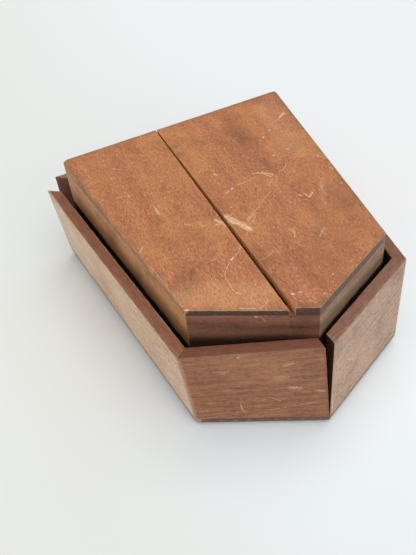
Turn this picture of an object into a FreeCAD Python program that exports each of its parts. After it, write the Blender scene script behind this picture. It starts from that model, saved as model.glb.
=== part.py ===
import FreeCAD, Part
import math
import os
import Sketcher

# A five-sided wooden box for board game pieces. A tray stands on its floor board and a deeper
# cover stands in the tray. Both are built up from flat boards with mitred ends.
# Units are millimetres, +Z is up and the origin is the middle of the tray's underside.
# The nose of the five-sided outline points to -Y and its back to +Y.

SIZES = (
    ("tray_length", 132.3, "nose to the middle of the back, outside"),
    ("tray_nose_depth", 20.6, "nose to right shoulder, along the length"),
    ("left_shoulder_set", 1.25, "how much nearer the nose the tray's left shoulder lies than its right"),
    ("tray_shoulder_half", 39.95, "half the width across the shoulders"),
    ("tray_back_left", 54.0, "centre line to the left back corner"),
    ("tray_back_right", 55.0, "centre line to the right back corner"),
    ("back_slope", 0.05, "how far the back runs out of square, per unit of width"),
    ("tray_height", 40.2, "underside to rim"),
    ("tray_wall", 4.3, "thickness of the tray's wall boards"),
    ("floor_thickness", 4.3, "thickness of the floor board"),
    ("floor_edge_radius", 3.4, "round along the lower edge of the floor board"),
    ("lean_angle", 4.5, "degrees that the two loose walls lean out to the left"),
    ("back_wall_gap", 2.0, "open mitre at the left end of the back wall"),
    ("left_wall_gap", 1.15, "open mitre at the back end of the left wall"),
    ("nose_play", 3.3, "tray wall to cover at the nose, along the length"),
    ("nose_depth_play", 1.8, "how much less deep the cover's nose is than the tray's"),
    ("shoulder_play", 0.2, "tray wall to cover at the shoulders, on each side"),
    ("back_play", 0.45, "tray's back wall to cover"),
    ("back_left_play", 1.35, "tray's left wall to cover at the back, across the width"),
    ("back_right_play", 1.25, "tray's right wall to cover at the back, across the width"),
    ("cover_shift", 0.45, "how far the cover stands left of the tray's centre line"),
    ("cover_height", 44.6, "cover's lower edge to its top"),
    ("cover_wall", 4.3, "thickness of the cover's wall boards"),
    ("board_thickness", 3.2, "thickness of the two boards on top of the cover"),
    ("slit_offset", 6.55, "cover's centre line to the right side of the slit between the top boards"),
    ("slit_back_width", 0.6, "slit between the top boards at the back"),
    ("slit_nose_width", 1.4, "slit between the top boards at the nose"),
    ("board_wear", 1.15, "how much thinner the left top board is at the nose"),
)
FILLET_SHARE = 0.9
BACK, RIGHT, FRONT_RIGHT, FRONT_LEFT, LEFT = range(5)


class Size:
    """A length that keeps its number and its spreadsheet formula together."""

    def __init__(self, value, formula):
        self.value = value
        self.formula = formula

    def __add__(self, other):
        return Size(self.value + other.value, f"({self.formula} + {other.formula})")

    def __sub__(self, other):
        return Size(self.value - other.value, f"({self.formula} - {other.formula})")

    def __mul__(self, other):
        return Size(self.value * other.value, f"({self.formula} * {other.formula})")

    def __neg__(self):
        return Size(-self.value, f"(-{self.formula})")

    def share(self, factor):
        return Size(self.value * factor, f"({self.formula} * {factor})")

    def tangent(self):
        return Size(math.tan(math.radians(self.value)), f"tan({self.formula} * 1 deg)")


CENTRE = Size(0.0, "0")


class Corner:
    """A corner of an outline, seen from above."""

    def __init__(self, x, y):
        self.x = x
        self.y = y

    def point(self):
        return FreeCAD.Vector(self.x.value, self.y.value, 0)


class Outline:
    """Five corners in clockwise order: left back, right back, right shoulder, nose, left shoulder."""

    def __init__(self, middle, back_left, back_right, shoulder_half, back, nose, nose_depth, slope, set_on):
        shoulder = nose + nose_depth
        self.corners = (
            Corner(middle - back_left, back - slope * back_left),
            Corner(middle + back_right, back + slope * back_right),
            Corner(middle + shoulder_half, shoulder),
            Corner(middle, nose),
            Corner(middle - shoulder_half, shoulder - set_on),
        )
        self.back = back
        self.nose = nose

    def around(self, side):
        """The two corners of a side, with the corner before them and the one after."""
        return [self.corners[(side + step) % 5] for step in (-1, 0, 1, 2)]


def sizes_sheet(doc):
    """Write the driving dimensions to the sheet and return them by name."""
    sheet = doc.addObject("Spreadsheet::Sheet", "Sizes")
    sizes = {}
    for row, (alias, value, meaning) in enumerate(SIZES, start=1):
        sheet.set(f"A{row}", alias)
        sheet.set(f"B{row}", str(value))
        sheet.set(f"C{row}", meaning)
        sheet.setAlias(f"B{row}", alias)
        sizes[alias] = Size(value, f"Sizes.{alias}")
    return sizes


def new_body(doc, label, seat):
    """Make a body whose own base plane lies at the height of its seat."""
    body = doc.addObject("PartDesign::Body", label)
    body.Label = label
    body.Placement = FreeCAD.Placement(FreeCAD.Vector(0, 0, seat.value), FreeCAD.Rotation())
    body.setExpression("Placement.Base.z", seat.formula)
    return body


def new_sketch(body, name, plane):
    """Make a sketch on one of the body's own origin planes."""
    sketch = body.newObject("Sketcher::SketchObject", f"{body.Label}_{name}")
    own_planes = [feature for feature in body.Origin.OriginFeatures if feature.Role == plane]
    sketch.AttachmentSupport = [(own_planes[0], "")]
    sketch.MapMode = "FlatFace"
    return sketch


def add_line(sketch, start, end, construction=False):
    return sketch.addGeometry(Part.LineSegment(start, end), construction)


def constrain(sketch, kind, *references):
    sketch.addConstraint(Sketcher.Constraint(kind, *references))


def measure(sketch, kind, references, size):
    """Add a dimension that follows the sheet."""
    index = sketch.addConstraint(Sketcher.Constraint(kind, *references, size.value))
    sketch.setExpression(f"Constraints[{index}]", size.formula)


def pin(sketch, line, end, corner):
    """Hold one end of a line at a corner."""
    if corner.x is CENTRE:
        constrain(sketch, "PointOnObject", line, end, -2)
    else:
        measure(sketch, "DistanceX", (-1, 1, line, end), corner.x)
    if corner.y is CENTRE:
        constrain(sketch, "PointOnObject", line, end, -1)
    else:
        measure(sketch, "DistanceY", (-1, 1, line, end), corner.y)


def closed_loop(sketch, points):
    """Draw straight lines from point to point and join them end to end."""
    following = points[1:] + points[:1]
    lines = [add_line(sketch, start, end) for start, end in zip(points, following)]
    for line, after in zip(lines, lines[1:] + lines[:1]):
        constrain(sketch, "Coincident", line, 2, after, 1)
    return lines


def mitre_point(before, corner, after, depth):
    """The point inside a corner that lies the same depth behind both of its sides."""
    first = (corner - before).normalize()
    second = (after - corner).normalize()
    inward = FreeCAD.Vector(first.y, -first.x, 0)
    also_inward = FreeCAD.Vector(second.y, -second.x, 0)
    return corner + (inward + also_inward) * (depth / (1 + inward.dot(also_inward)))


def wall_sketch(body, outline, side, wall, gaps):
    """Draw a wall board from above: outer face, inner face and two mitred ends.

    gaps gives, for an end that stands back from its corner, how far along the wall it does.
    """
    sketch = new_sketch(body, "plan", "XY_Plane")
    corners = outline.around(side)
    points = [corner.point() for corner in corners]
    before, face, after = [
        add_line(sketch, start, end, construction=True) for start, end in zip(points, points[1:])
    ]
    pin(sketch, before, 1, corners[0])
    pin(sketch, face, 1, corners[1])
    pin(sketch, face, 2, corners[2])
    pin(sketch, after, 2, corners[3])
    constrain(sketch, "Coincident", before, 2, face, 1)
    constrain(sketch, "Coincident", face, 2, after, 1)

    inner_start = mitre_point(*points[:3], wall.value)
    inner_end = mitre_point(*points[1:], wall.value)
    along = (points[2] - points[1]).normalize()
    start_shift = along * gaps[0].value if gaps[0] else FreeCAD.Vector()
    end_shift = along * -gaps[1].value if gaps[1] else FreeCAD.Vector()
    outer, end_cut, inner, start_cut = closed_loop(sketch, [
        points[1] + start_shift, points[2] + end_shift, inner_end + end_shift, inner_start + start_shift,
    ])
    finish_end(sketch, face, 1, before, (outer, 1), (inner, 2), start_cut, wall, gaps[0], inner_start)
    finish_end(sketch, face, 2, after, (outer, 2), (inner, 1), end_cut, wall, gaps[1], inner_end)
    return sketch


def finish_end(sketch, face, end, neighbour, outer_point, inner_point, cut, wall, gap, mitre_end):
    """Place one mitred end of a wall board, at its corner or a gap away from it."""
    measure(sketch, "Distance", (*inner_point, face), wall)
    if gap is None:
        constrain(sketch, "Coincident", *outer_point, face, end)
        measure(sketch, "Distance", (*inner_point, neighbour), wall)
        return
    corner = sketch.getPoint(face, end)
    mitre = add_line(sketch, corner, mitre_end, construction=True)
    constrain(sketch, "Coincident", mitre, 1, face, end)
    measure(sketch, "Distance", (mitre, 2, face), wall)
    measure(sketch, "Distance", (mitre, 2, neighbour), wall)
    constrain(sketch, "PointOnObject", *outer_point, face)
    measure(sketch, "Distance", (face, end, *outer_point), gap)
    constrain(sketch, "Parallel", cut, mitre)


def add_pad(body, sketch, length):
    pad = body.newObject("PartDesign::Pad", f"{body.Label}_pad")
    pad.Profile = sketch
    pad.Length = length.value
    pad.setExpression("Length", length.formula)
    sketch.Visibility = False
    return pad


def add_wedge_cut(body, plane, corners, reach):
    """Cut a triangle, drawn on a side plane, right through the body."""
    sketch = new_sketch(body, "wedge", plane)
    lines = closed_loop(sketch, [corner.point() for corner in corners])
    for line, corner in zip(lines, corners):
        pin(sketch, line, 1, corner)
    body.Document.recompute()
    uncut = body.Shape.Volume
    pocket = body.newObject("PartDesign::Pocket", f"{body.Label}_wedge_cut")
    pocket.Profile = sketch
    pocket.SideType = "Symmetric"
    pocket.Length = reach.value
    pocket.setExpression("Length", reach.formula)
    body.Document.recompute()
    if body.Shape.Volume >= uncut:
        raise ValueError(f"{body.Label}: the wedge cut removes nothing")


def wall_board(doc, label, outline, side, wall, height, seat, gaps=(None, None)):
    """Make one wall board, standing on its seat."""
    body = new_body(doc, label, seat)
    add_pad(body, wall_sketch(body, outline, side, wall, gaps), height)
    return body


def lean_out(body, angle, width, reach):
    """Lean a wall about the nose's foot and plane its lower edge flush with its seat."""
    body.Placement = FreeCAD.Placement(
        body.Placement.Base, FreeCAD.Rotation(FreeCAD.Vector(0, -1, 0), angle.value)
    )
    body.setExpression("Placement.Rotation.Angle", angle.formula)
    rise = width * angle.tangent()
    corners = (Corner(CENTRE, CENTRE), Corner(-width, rise), Corner(-width, CENTRE))
    add_wedge_cut(body, "XZ_Plane", corners, reach)


def floor_board(doc, outline, thickness, radius):
    """Make the five-sided floor board with a round along its lower edge."""
    body = new_body(doc, "tray_floor", CENTRE)
    sketch = new_sketch(body, "plan", "XY_Plane")
    lines = closed_loop(sketch, [corner.point() for corner in outline.corners])
    for line, corner in zip(lines, outline.corners):
        pin(sketch, line, 1, corner)
    pad = add_pad(body, sketch, thickness)
    doc.recompute()
    square = body.Shape.Volume
    lower_edges = [
        f"Edge{number}" for number, edge in enumerate(pad.Shape.Edges, start=1)
        if edge.BoundBox.ZMax < thickness.value / 2
    ]
    fillet = body.newObject("PartDesign::Fillet", "tray_floor_round")
    fillet.Base = (pad, lower_edges)
    fillet.Radius = min(radius.value, thickness.value * FILLET_SHARE)
    fillet.setExpression("Radius", f"min({radius.formula}; {thickness.share(FILLET_SHARE).formula})")
    doc.recompute()
    if body.Shape.Volume >= square:
        raise ValueError("tray_floor: the round removes nothing")
    return body


def top_board(doc, label, outline, kept, slit_side, thickness, seat):
    """Make one top board: the part of the outline on one side of the slit.

    kept lists the outline's corners that the board keeps, from the back round to the nose, and
    slit_side gives the place of its long inner edge across the width, at the back and at the nose.
    """
    body = new_body(doc, label, seat)
    sketch = new_sketch(body, "plan", "XY_Plane")
    left_back, right_back, _, nose, left_shoulder = outline.corners
    edges = []
    for start, end in ((left_back, right_back), (nose, left_shoulder)):
        edge = add_line(sketch, start.point(), end.point(), construction=True)
        pin(sketch, edge, 1, start)
        pin(sketch, edge, 2, end)
        edges.append(edge)
    slit_back = crossing(left_back.point(), right_back.point(), slit_side[0].value)
    slit_nose = crossing(nose.point(), left_shoulder.point(), slit_side[1].value)
    lines = closed_loop(sketch, [slit_back, *[corner.point() for corner in kept], slit_nose])
    for line, corner in zip(lines[1:], kept):
        pin(sketch, line, 1, corner)
    for line, edge, place in zip((lines[0], lines[-1]), edges, slit_side):
        measure(sketch, "DistanceX", (-1, 1, line, 1), place)
        constrain(sketch, "PointOnObject", line, 1, edge)
    add_pad(body, sketch, thickness)
    return body


def crossing(start, end, x):
    """The point of a straight edge at a given place across the width."""
    return start + (end - start) * ((x - start.x) / (end.x - start.x))


def make_tray(doc, size):
    """Make the floor board and five walls of the tray and return its outline."""
    half_length = size["tray_length"].share(0.5)
    outline = Outline(
        CENTRE, size["tray_back_left"], size["tray_back_right"], size["tray_shoulder_half"],
        half_length, -half_length, size["tray_nose_depth"], size["back_slope"], size["left_shoulder_set"],
    )
    wall = size["tray_wall"]
    seat = size["floor_thickness"]
    height = size["tray_height"] - seat
    floor_board(doc, outline, seat, size["floor_edge_radius"])
    wall_board(doc, "tray_back_wall", outline, BACK, wall, height, seat, (size["back_wall_gap"], None))
    wall_board(doc, "tray_right_wall", outline, RIGHT, wall, height, seat)
    wall_board(doc, "tray_front_right_wall", outline, FRONT_RIGHT, wall, height, seat)
    loose_walls = (
        wall_board(doc, "tray_front_left_wall", outline, FRONT_LEFT, wall, height, seat),
        wall_board(doc, "tray_left_wall", outline, LEFT, wall, height, seat, (None, size["left_wall_gap"])),
    )
    for body in loose_walls:
        lean_out(body, size["lean_angle"], size["tray_back_left"] + wall, size["tray_length"].share(2))


def cover_outline(size):
    """The cover's outline: the tray's inner faces less the play that it stands with."""
    half_length = size["tray_length"].share(0.5)
    wall = size["tray_wall"]
    return Outline(
        -size["cover_shift"],
        size["tray_back_left"] - wall - size["back_left_play"] - size["cover_shift"],
        size["tray_back_right"] - wall - size["back_right_play"] + size["cover_shift"],
        size["tray_shoulder_half"] - wall - size["shoulder_play"],
        half_length - wall - size["back_play"],
        wall + size["nose_play"] - half_length,
        size["tray_nose_depth"] - size["nose_depth_play"],
        size["back_slope"],
        CENTRE,
    )


def make_cover(doc, size):
    """Make the five walls and two top boards of the cover."""
    outline = cover_outline(size)
    wall = size["cover_wall"]
    seat = size["floor_thickness"]
    thickness = size["board_thickness"]
    height = size["cover_height"] - thickness
    for side, place in enumerate(("back", "right", "front_right", "front_left", "left")):
        wall_board(doc, f"cover_{place}_wall", outline, side, wall, height, seat)

    left_back, right_back, right_shoulder, nose, left_shoulder = outline.corners
    slit_right = -size["cover_shift"] - size["slit_offset"]
    slit_left = (slit_right - size["slit_back_width"], slit_right - size["slit_nose_width"])
    board_seat = seat + height
    left_board = top_board(
        doc, "cover_left_board", outline, (left_back, left_shoulder), slit_left, thickness, board_seat
    )
    top_board(
        doc, "cover_right_board", outline, (right_back, right_shoulder, nose), (slit_right, slit_right),
        thickness, board_seat,
    )
    worn_away = (
        Corner(outline.back, thickness),
        Corner(outline.nose, thickness - size["board_wear"]),
        Corner(outline.nose, thickness),
    )
    add_wedge_cut(left_board, "YZ_Plane", worn_away, size["tray_back_left"].share(3))


def check_document(doc):
    """Stop if any object failed or any body has no sound solid."""
    for item in doc.Objects:
        if "Invalid" in item.State or "Error" in item.State:
            raise ValueError(f"{item.Label} failed: {item.State}")
    for body in bodies(doc):
        shape = body.Shape
        if shape.isNull() or not shape.isValid() or len(shape.Solids) != 1:
            raise ValueError(f"{body.Label} has no sound solid")


def bodies(doc):
    return [item for item in doc.Objects if item.TypeId == "PartDesign::Body"]


def main():
    doc = FreeCAD.newDocument("piece_box")
    size = sizes_sheet(doc)
    doc.recompute()
    make_tray(doc, size)
    make_cover(doc, size)
    doc.recompute()
    check_document(doc)
    os.makedirs("parts", exist_ok=True)
    for body in bodies(doc):
        body.Shape.exportStep(f"parts/{body.Label}.step")
        print(f"{body.Label}: {body.Shape.Volume:.0f} mm3")


main()
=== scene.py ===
"""Dresses a worn, five-sided wooden piece box: a low tray and the taller cover that stands in it.

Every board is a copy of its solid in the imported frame, reworked as a joiner's board ages: its
outer corners are shaved round, its free edges are softened and worn, its faces are slightly
uneven, and its wood has growth layers, pores, stains, scratches and knocks. Lengths are in
millimetres unless a name ends in _m.
"""

import logging
import math
from dataclasses import dataclass, field, replace
from enum import Enum
from typing import ClassVar, Iterable, Sequence

import bmesh
import bpy
import numpy as np
from mathutils import Matrix, Quaternion, Vector
from mathutils.bvhtree import BVHTree


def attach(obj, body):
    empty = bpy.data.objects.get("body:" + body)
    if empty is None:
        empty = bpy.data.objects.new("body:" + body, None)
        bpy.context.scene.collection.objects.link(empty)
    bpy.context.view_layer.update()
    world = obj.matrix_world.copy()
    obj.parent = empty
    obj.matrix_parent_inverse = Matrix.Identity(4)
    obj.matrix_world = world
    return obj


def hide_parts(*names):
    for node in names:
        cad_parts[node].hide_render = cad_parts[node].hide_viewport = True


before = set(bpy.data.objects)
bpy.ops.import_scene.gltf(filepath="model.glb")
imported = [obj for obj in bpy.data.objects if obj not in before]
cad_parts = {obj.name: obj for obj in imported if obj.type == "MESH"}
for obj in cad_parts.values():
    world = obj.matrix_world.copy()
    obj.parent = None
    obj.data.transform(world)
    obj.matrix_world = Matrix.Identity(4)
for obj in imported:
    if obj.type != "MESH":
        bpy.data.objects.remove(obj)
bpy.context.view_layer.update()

MM = 0.001
EDGE_GAP = "edge_gap"
UP = Vector((0.0, 0.0, 1.0))
Colour = tuple[float, float, float]
log = logging.getLogger("piece_box")


class Slot(Enum):
    """The material slots of the part's record."""

    TRAY = "tray_wood"
    COVER = "cover_wood"
    TOP = "top_wood"


class Body(Enum):
    """The two rigid bodies of the box."""

    TRAY = "tray"
    COVER = "cover"


def srgb(red: int, green: int, blue: int) -> tuple[float, float, float, float]:
    """Turns a colour as a painter names it, 0 to 255, into the linear values of a shader.

    Args:
        red: The red share, 0 to 255.
        green: The green share, 0 to 255.
        blue: The blue share, 0 to 255.

    Returns:
        The linear colour with an alpha of one.
    """
    knee, low_slope, offset, power = 0.04045, 12.92, 0.055, 2.4
    shares = [part / 255.0 for part in (red, green, blue)]
    linear = [s / low_slope if s <= knee else ((s + offset) / (1 + offset)) ** power for s in shares]
    return (linear[0], linear[1], linear[2], 1.0)


# --------------------------------------------------------------------------- shader building


class Shader:
    """Adds nodes to one node tree, so that a finish reads as a list of steps."""

    def __init__(self, tree: bpy.types.NodeTree) -> None:
        """Keeps the tree that the nodes go into."""
        self.tree = tree

    def add(self, kind: str, inputs: dict | None = None, **settings: object) -> bpy.types.Node:
        """Adds one node.

        Args:
            kind: The node's type name.
            inputs: Values or sockets for its inputs, by name or number.
            **settings: The node's own properties.

        Returns:
            The new node.
        """
        node = self.tree.nodes.new(kind)
        for name, value in settings.items():
            setattr(node, name, value)
        for name, value in (inputs or {}).items():
            self.feed(node.inputs[name], value)
        return node

    def feed(self, socket: bpy.types.NodeSocket, value: object) -> None:
        """Joins a socket to another node's output, or sets its plain value.

        Args:
            socket: The socket.
            value: Another node's output, or a plain value.
        """
        if isinstance(value, bpy.types.NodeSocket):
            self.tree.links.new(value, socket)
        else:
            socket.default_value = value

    def math(self, operation: str, *values: object, clamp: bool = False) -> bpy.types.NodeSocket:
        """Works out one number from up to three others."""
        node = self.add("ShaderNodeMath", dict(enumerate(values)), operation=operation, use_clamp=clamp)
        return node.outputs[0]

    def vector(self, operation: str, *values: object) -> bpy.types.NodeSocket:
        """Works out a vector, or a number for a length, a distance or a dot product.

        Args:
            operation: What is done with the vectors.
            *values: The vectors, each a socket or a plain one.

        Returns:
            The vector, or the number.
        """
        node = self.add("ShaderNodeVectorMath", dict(enumerate(values)), operation=operation)
        number = operation in ("LENGTH", "DISTANCE", "DOT_PRODUCT")
        return node.outputs["Value" if number else "Vector"]

    def scaled(self, vector: object, scale: Sequence[float]) -> bpy.types.NodeSocket:
        """Stretches a vector by a share along each axis."""
        return self.vector("MULTIPLY", vector, tuple(scale))

    def stretched(self, vector: object, share: object) -> bpy.types.NodeSocket:
        """Makes a vector longer or shorter by one share."""
        node = self.add("ShaderNodeVectorMath", {0: vector, "Scale": share}, operation="SCALE")
        return node.outputs["Vector"]

    def noise(self, vector: object, scale: float, detail: float = 2.0, roughness: float = 0.5,
              distortion: float = 0.0) -> bpy.types.NodeSocket:
        """Adds cloudy noise about 0.5.

        Args:
            vector: Where it is read.
            scale: How many lumps it has in a unit.
            detail: How many finer layers it has.
            roughness: How strong those layers are.
            distortion: How far the lumps are pushed about.

        Returns:
            The noise, from 0 to 1.
        """
        values = {"Vector": vector, "Scale": scale, "Detail": detail, "Roughness": roughness,
                  "Distortion": distortion}
        return self.add("ShaderNodeTexNoise", values).outputs["Fac"]

    def ramp(self, value: object, low: object, high: object, bottom: object = 0.0,
             top: object = 1.0) -> bpy.types.NodeSocket:
        """Turns a range of one number into a soft step of another.

        Args:
            value: The number that is read.
            low: Where the step starts.
            high: Where the step ends; below low, the step falls.
            bottom: What comes out at low.
            top: What comes out at high.

        Returns:
            The stepped number, held at its ends.
        """
        values = {"Value": value, "From Min": low, "From Max": high, "To Min": bottom, "To Max": top}
        node = self.add("ShaderNodeMapRange", values, interpolation_type="SMOOTHSTEP")
        return node.outputs["Result"]

    def mix(self, share: object, first: object, second: object) -> bpy.types.NodeSocket:
        """Blends two colours.

        Args:
            share: How much of the second colour shows, 0 to 1.
            first: The colour below.
            second: The colour on top.

        Returns:
            The blended colour.
        """
        node = self.add("ShaderNodeMix", data_type="RGBA", blend_type="MIX", clamp_factor=True)
        self.feed(node.inputs[0], share)
        self.feed(node.inputs[6], first)
        self.feed(node.inputs[7], second)
        return node.outputs[2]

    def facing(self, normal: bpy.types.NodeSocket, direction: Vector) -> bpy.types.NodeSocket:
        """Works out how closely a surface looks one way: 1 straight there, 0 across, -1 away."""
        return self.vector("DOT_PRODUCT", normal, tuple(direction))

    def turned(self, vector: object, turn: float, shift: Sequence[float]) -> bpy.types.NodeSocket:
        """Turns a pattern about the third axis, in degrees, and shifts it."""
        values = {"Vector": vector, "Rotation": (0.0, 0.0, math.radians(turn)), "Location": tuple(shift)}
        return self.add("ShaderNodeMapping", values).outputs["Vector"]


class Effect:
    """An effect that several finishes share: one node group, built once.

    Attributes:
        name: The node group's name.
        inputs: Its inputs and their usual values.
        outputs: Its outputs.
    """

    name: ClassVar[str]
    inputs: ClassVar[dict[str, float | tuple]]
    outputs: ClassVar[tuple[str, ...]]

    @classmethod
    def group(cls) -> bpy.types.NodeTree:
        """Finds the node group, or builds it the first time.

        Returns:
            The node group.
        """
        found = bpy.data.node_groups.get(cls.name)
        if found:
            return found
        tree = bpy.data.node_groups.new(cls.name, "ShaderNodeTree")
        for name, value in cls.inputs.items():
            kind = "NodeSocketVector" if isinstance(value, tuple) else "NodeSocketFloat"
            tree.interface.new_socket(name, in_out="INPUT", socket_type=kind).default_value = value
        for name in cls.outputs:
            tree.interface.new_socket(name, in_out="OUTPUT", socket_type="NodeSocketFloat")
        shader = Shader(tree)
        entry = shader.add("NodeGroupInput").outputs
        results = cls.build(shader, entry)
        shader.add("NodeGroupOutput", dict(zip(cls.outputs, results)))
        return tree

    @classmethod
    def build(cls, shader: Shader, entry: bpy.types.NodeOutputs) -> Sequence[bpy.types.NodeSocket]:
        """Builds the inside of the group.

        Args:
            shader: Where the nodes go.
            entry: The group's inputs, by name.

        Returns:
            One socket for each output, in their order.
        """
        raise NotImplementedError

    @classmethod
    def use(cls, shader: Shader, **values: object) -> bpy.types.NodeOutputs:
        """Places the effect in a material.

        Args:
            shader: The material's shader.
            **values: Values or sockets for the inputs, with _ for a space.

        Returns:
            The effect's outputs, by name.
        """
        node = shader.add("ShaderNodeGroup", node_tree=cls.group())
        for name, value in values.items():
            shader.feed(node.inputs[name.replace("_", " ")], value)
        return node.outputs


class Grain(Effect):
    """Growth layers, fibres, flecks and pores of a sawn board; the first axis runs along the grain."""

    name = "wood_grain"
    inputs = {"Vector": (0.0, 0.0, 0.0), "Fibre": (0.1, 1.5, 1.5), "Layer": 4.0, "Slant": 0.5,
              "Waviness": 2.0}
    outputs = ("Layers", "Fibres", "Flecks", "Pores")

    @classmethod
    def build(cls, shader: Shader, entry: bpy.types.NodeOutputs) -> Sequence[bpy.types.NodeSocket]:
        """Layers are a slanted, wavy sine; the rest is noise drawn out along the grain.

        Args:
            shader: Where the nodes go.
            entry: The group's inputs, by name.

        Returns:
            The layers, fibres, flecks and pores, each from 0 to 1.
        """
        place = entry["Vector"]
        parts = shader.add("ShaderNodeSeparateXYZ", {0: place}).outputs
        depth = shader.math("MULTIPLY_ADD", parts[2], entry["Slant"], parts[1])
        drift = shader.noise(shader.scaled(place, (0.012, 0.06, 0.06)), 1.0, 3.0)
        swing = shader.math("MULTIPLY", shader.math("SUBTRACT", drift, 0.5), entry["Waviness"])
        waved = shader.math("MULTIPLY_ADD", swing, 6.0, depth)
        phase = shader.math("DIVIDE", shader.math("MULTIPLY", waved, math.tau), entry["Layer"])
        layers = shader.math("MULTIPLY_ADD", shader.math("SINE", phase), 0.5, 0.5)
        fibres = shader.noise(shader.vector("MULTIPLY", place, entry["Fibre"]), 1.0, 5.0, 0.75, 0.4)
        flecks = shader.noise(shader.scaled(place, (0.75, 3.0, 3.0)), 1.0, 3.0, 0.75, 0.5)
        cells = shader.add("ShaderNodeTexVoronoi", {
            "Vector": shader.scaled(place, (0.42, 2.6, 2.6)), "Scale": 1.0, "Randomness": 1.0})
        chosen = shader.add("ShaderNodeSeparateColor", {0: cells.outputs["Color"]}).outputs[0]
        near = shader.ramp(cells.outputs["Distance"], 0.30, 0.12)
        pores = shader.math("MULTIPLY", near, shader.ramp(chosen, 0.45, 0.6))
        return layers, fibres, flecks, pores


class Stains(Effect):
    """Cloudy patches of age: dark ones, and ones where the wood is brighter and warmer."""

    name = "age_stains"
    inputs = {"Vector": (0.0, 0.0, 0.0), "Size": 20.0}
    outputs = ("Dark", "Warm")

    @classmethod
    def build(cls, shader: Shader, entry: bpy.types.NodeOutputs) -> Sequence[bpy.types.NodeSocket]:
        """Both patches are soft noise at different places of the same field.

        Args:
            shader: Where the nodes go.
            entry: The group's inputs, by name.

        Returns:
            How strongly the dark and the warm patches show.
        """
        place = shader.vector("DIVIDE", entry["Vector"], entry["Size"])
        dark = shader.ramp(shader.noise(place, 1.0, 4.0, 0.6), 0.5, 0.72)
        moved = shader.vector("ADD", place, (17.0, 5.0, 9.0))
        warm = shader.ramp(shader.noise(moved, 0.9, 3.0, 0.5), 0.42, 0.68)
        return dark, warm


class Scratches(Effect):
    """Hair-fine scratches: the thin lines where slow noise passes through its middle."""

    name = "hair_scratches"
    inputs = {"Vector": (0.0, 0.0, 0.0), "Spacing": 12.0, "Width": 0.012}
    outputs = ("Lines",)

    @classmethod
    def build(cls, shader: Shader, entry: bpy.types.NodeOutputs) -> Sequence[bpy.types.NodeSocket]:
        """Three fields of lines at different turns are broken up by patchy masks.

        Args:
            shader: Where the nodes go.
            entry: The group's inputs, by name.

        Returns:
            How strongly a scratch shows.
        """
        place = shader.vector("DIVIDE", entry["Vector"], entry["Spacing"])
        lines = []
        courses = ((24.0, (0.55, 1.3, 1.0)), (-41.0, (1.2, 0.5, 1.0)), (78.0, (0.4, 1.5, 1.0)))
        for turn, stretch in courses:
            field_place = shader.scaled(shader.turned(place, turn, (turn, 0.0, 0.0)), stretch)
            wave = shader.noise(field_place, 1.0, 1.5, 0.4, 0.3)
            off = shader.math("ABSOLUTE", shader.math("SUBTRACT", wave, 0.5))
            line = shader.ramp(off, entry["Width"], 0.0)
            patch = shader.ramp(shader.noise(field_place, 2.3, 2.0), 0.52, 0.62)
            lines.append(shader.math("MULTIPLY", line, patch))
        first, second, third = lines
        return (shader.math("MAXIMUM", shader.math("MAXIMUM", first, second), third),)


class Specks(Effect):
    """Small round specks of dried paint and dust, here and there."""

    name = "pale_specks"
    inputs = {"Vector": (0.0, 0.0, 0.0), "Spacing": 7.0, "Radius": 0.25, "Share": 0.3}
    outputs = ("Dots",)

    @classmethod
    def build(cls, shader: Shader, entry: bpy.types.NodeOutputs) -> Sequence[bpy.types.NodeSocket]:
        """Each cell of a scattered grid may hold one dot of its own size.

        Args:
            shader: Where the nodes go.
            entry: The group's inputs, by name.

        Returns:
            How strongly a speck shows.
        """
        place = shader.vector("DIVIDE", entry["Vector"], entry["Spacing"])
        cells = shader.add("ShaderNodeTexVoronoi", {"Vector": place, "Scale": 1.0, "Randomness": 1.0})
        parts = shader.add("ShaderNodeSeparateColor", {0: cells.outputs["Color"]}).outputs
        radius = shader.math("MULTIPLY", shader.math("DIVIDE", entry["Radius"], entry["Spacing"]), parts[1])
        dot = shader.ramp(cells.outputs["Distance"], shader.math("MULTIPLY", radius, 1.6), radius)
        kept = shader.math("LESS_THAN", parts[0], entry["Share"])
        return (shader.math("MULTIPLY", dot, kept),)


class EdgeWear(Effect):
    """Rubbed edges and the dirt beside them, from the distance to the nearest edge."""

    name = "edge_wear"
    inputs = {"Vector": (0.0, 0.0, 0.0), "Gap": 5.0, "Reach": 0.6, "Grime reach": 2.5}
    outputs = ("Rubbed", "Grime")

    @classmethod
    def build(cls, shader: Shader, entry: bpy.types.NodeOutputs) -> Sequence[bpy.types.NodeSocket]:
        """The reach of both is made ragged by noise.

        Args:
            shader: Where the nodes go.
            entry: The group's inputs, by name.

        Returns:
            How strongly the rubbed edge and the dirt show.
        """
        ragged = shader.noise(shader.scaled(entry["Vector"], (0.35, 0.35, 0.35)), 1.0, 5.0, 0.7)
        share = shader.ramp(ragged, 0.35, 0.7, 0.1, 1.6)
        rub = shader.math("MULTIPLY", entry["Reach"], share)
        rubbed = shader.ramp(entry["Gap"], rub, shader.math("MULTIPLY", rub, 0.3))
        blotch = shader.noise(shader.scaled(entry["Vector"], (0.16, 0.16, 0.16)), 1.0, 5.0, 0.7)
        spread = shader.math("MULTIPLY", entry["Grime reach"], shader.ramp(blotch, 0.38, 0.68, 0.1, 1.4))
        grime_and_gap_shade = shader.ramp(entry["Gap"], spread, 0.0)
        return rubbed, grime_and_gap_shade


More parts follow.
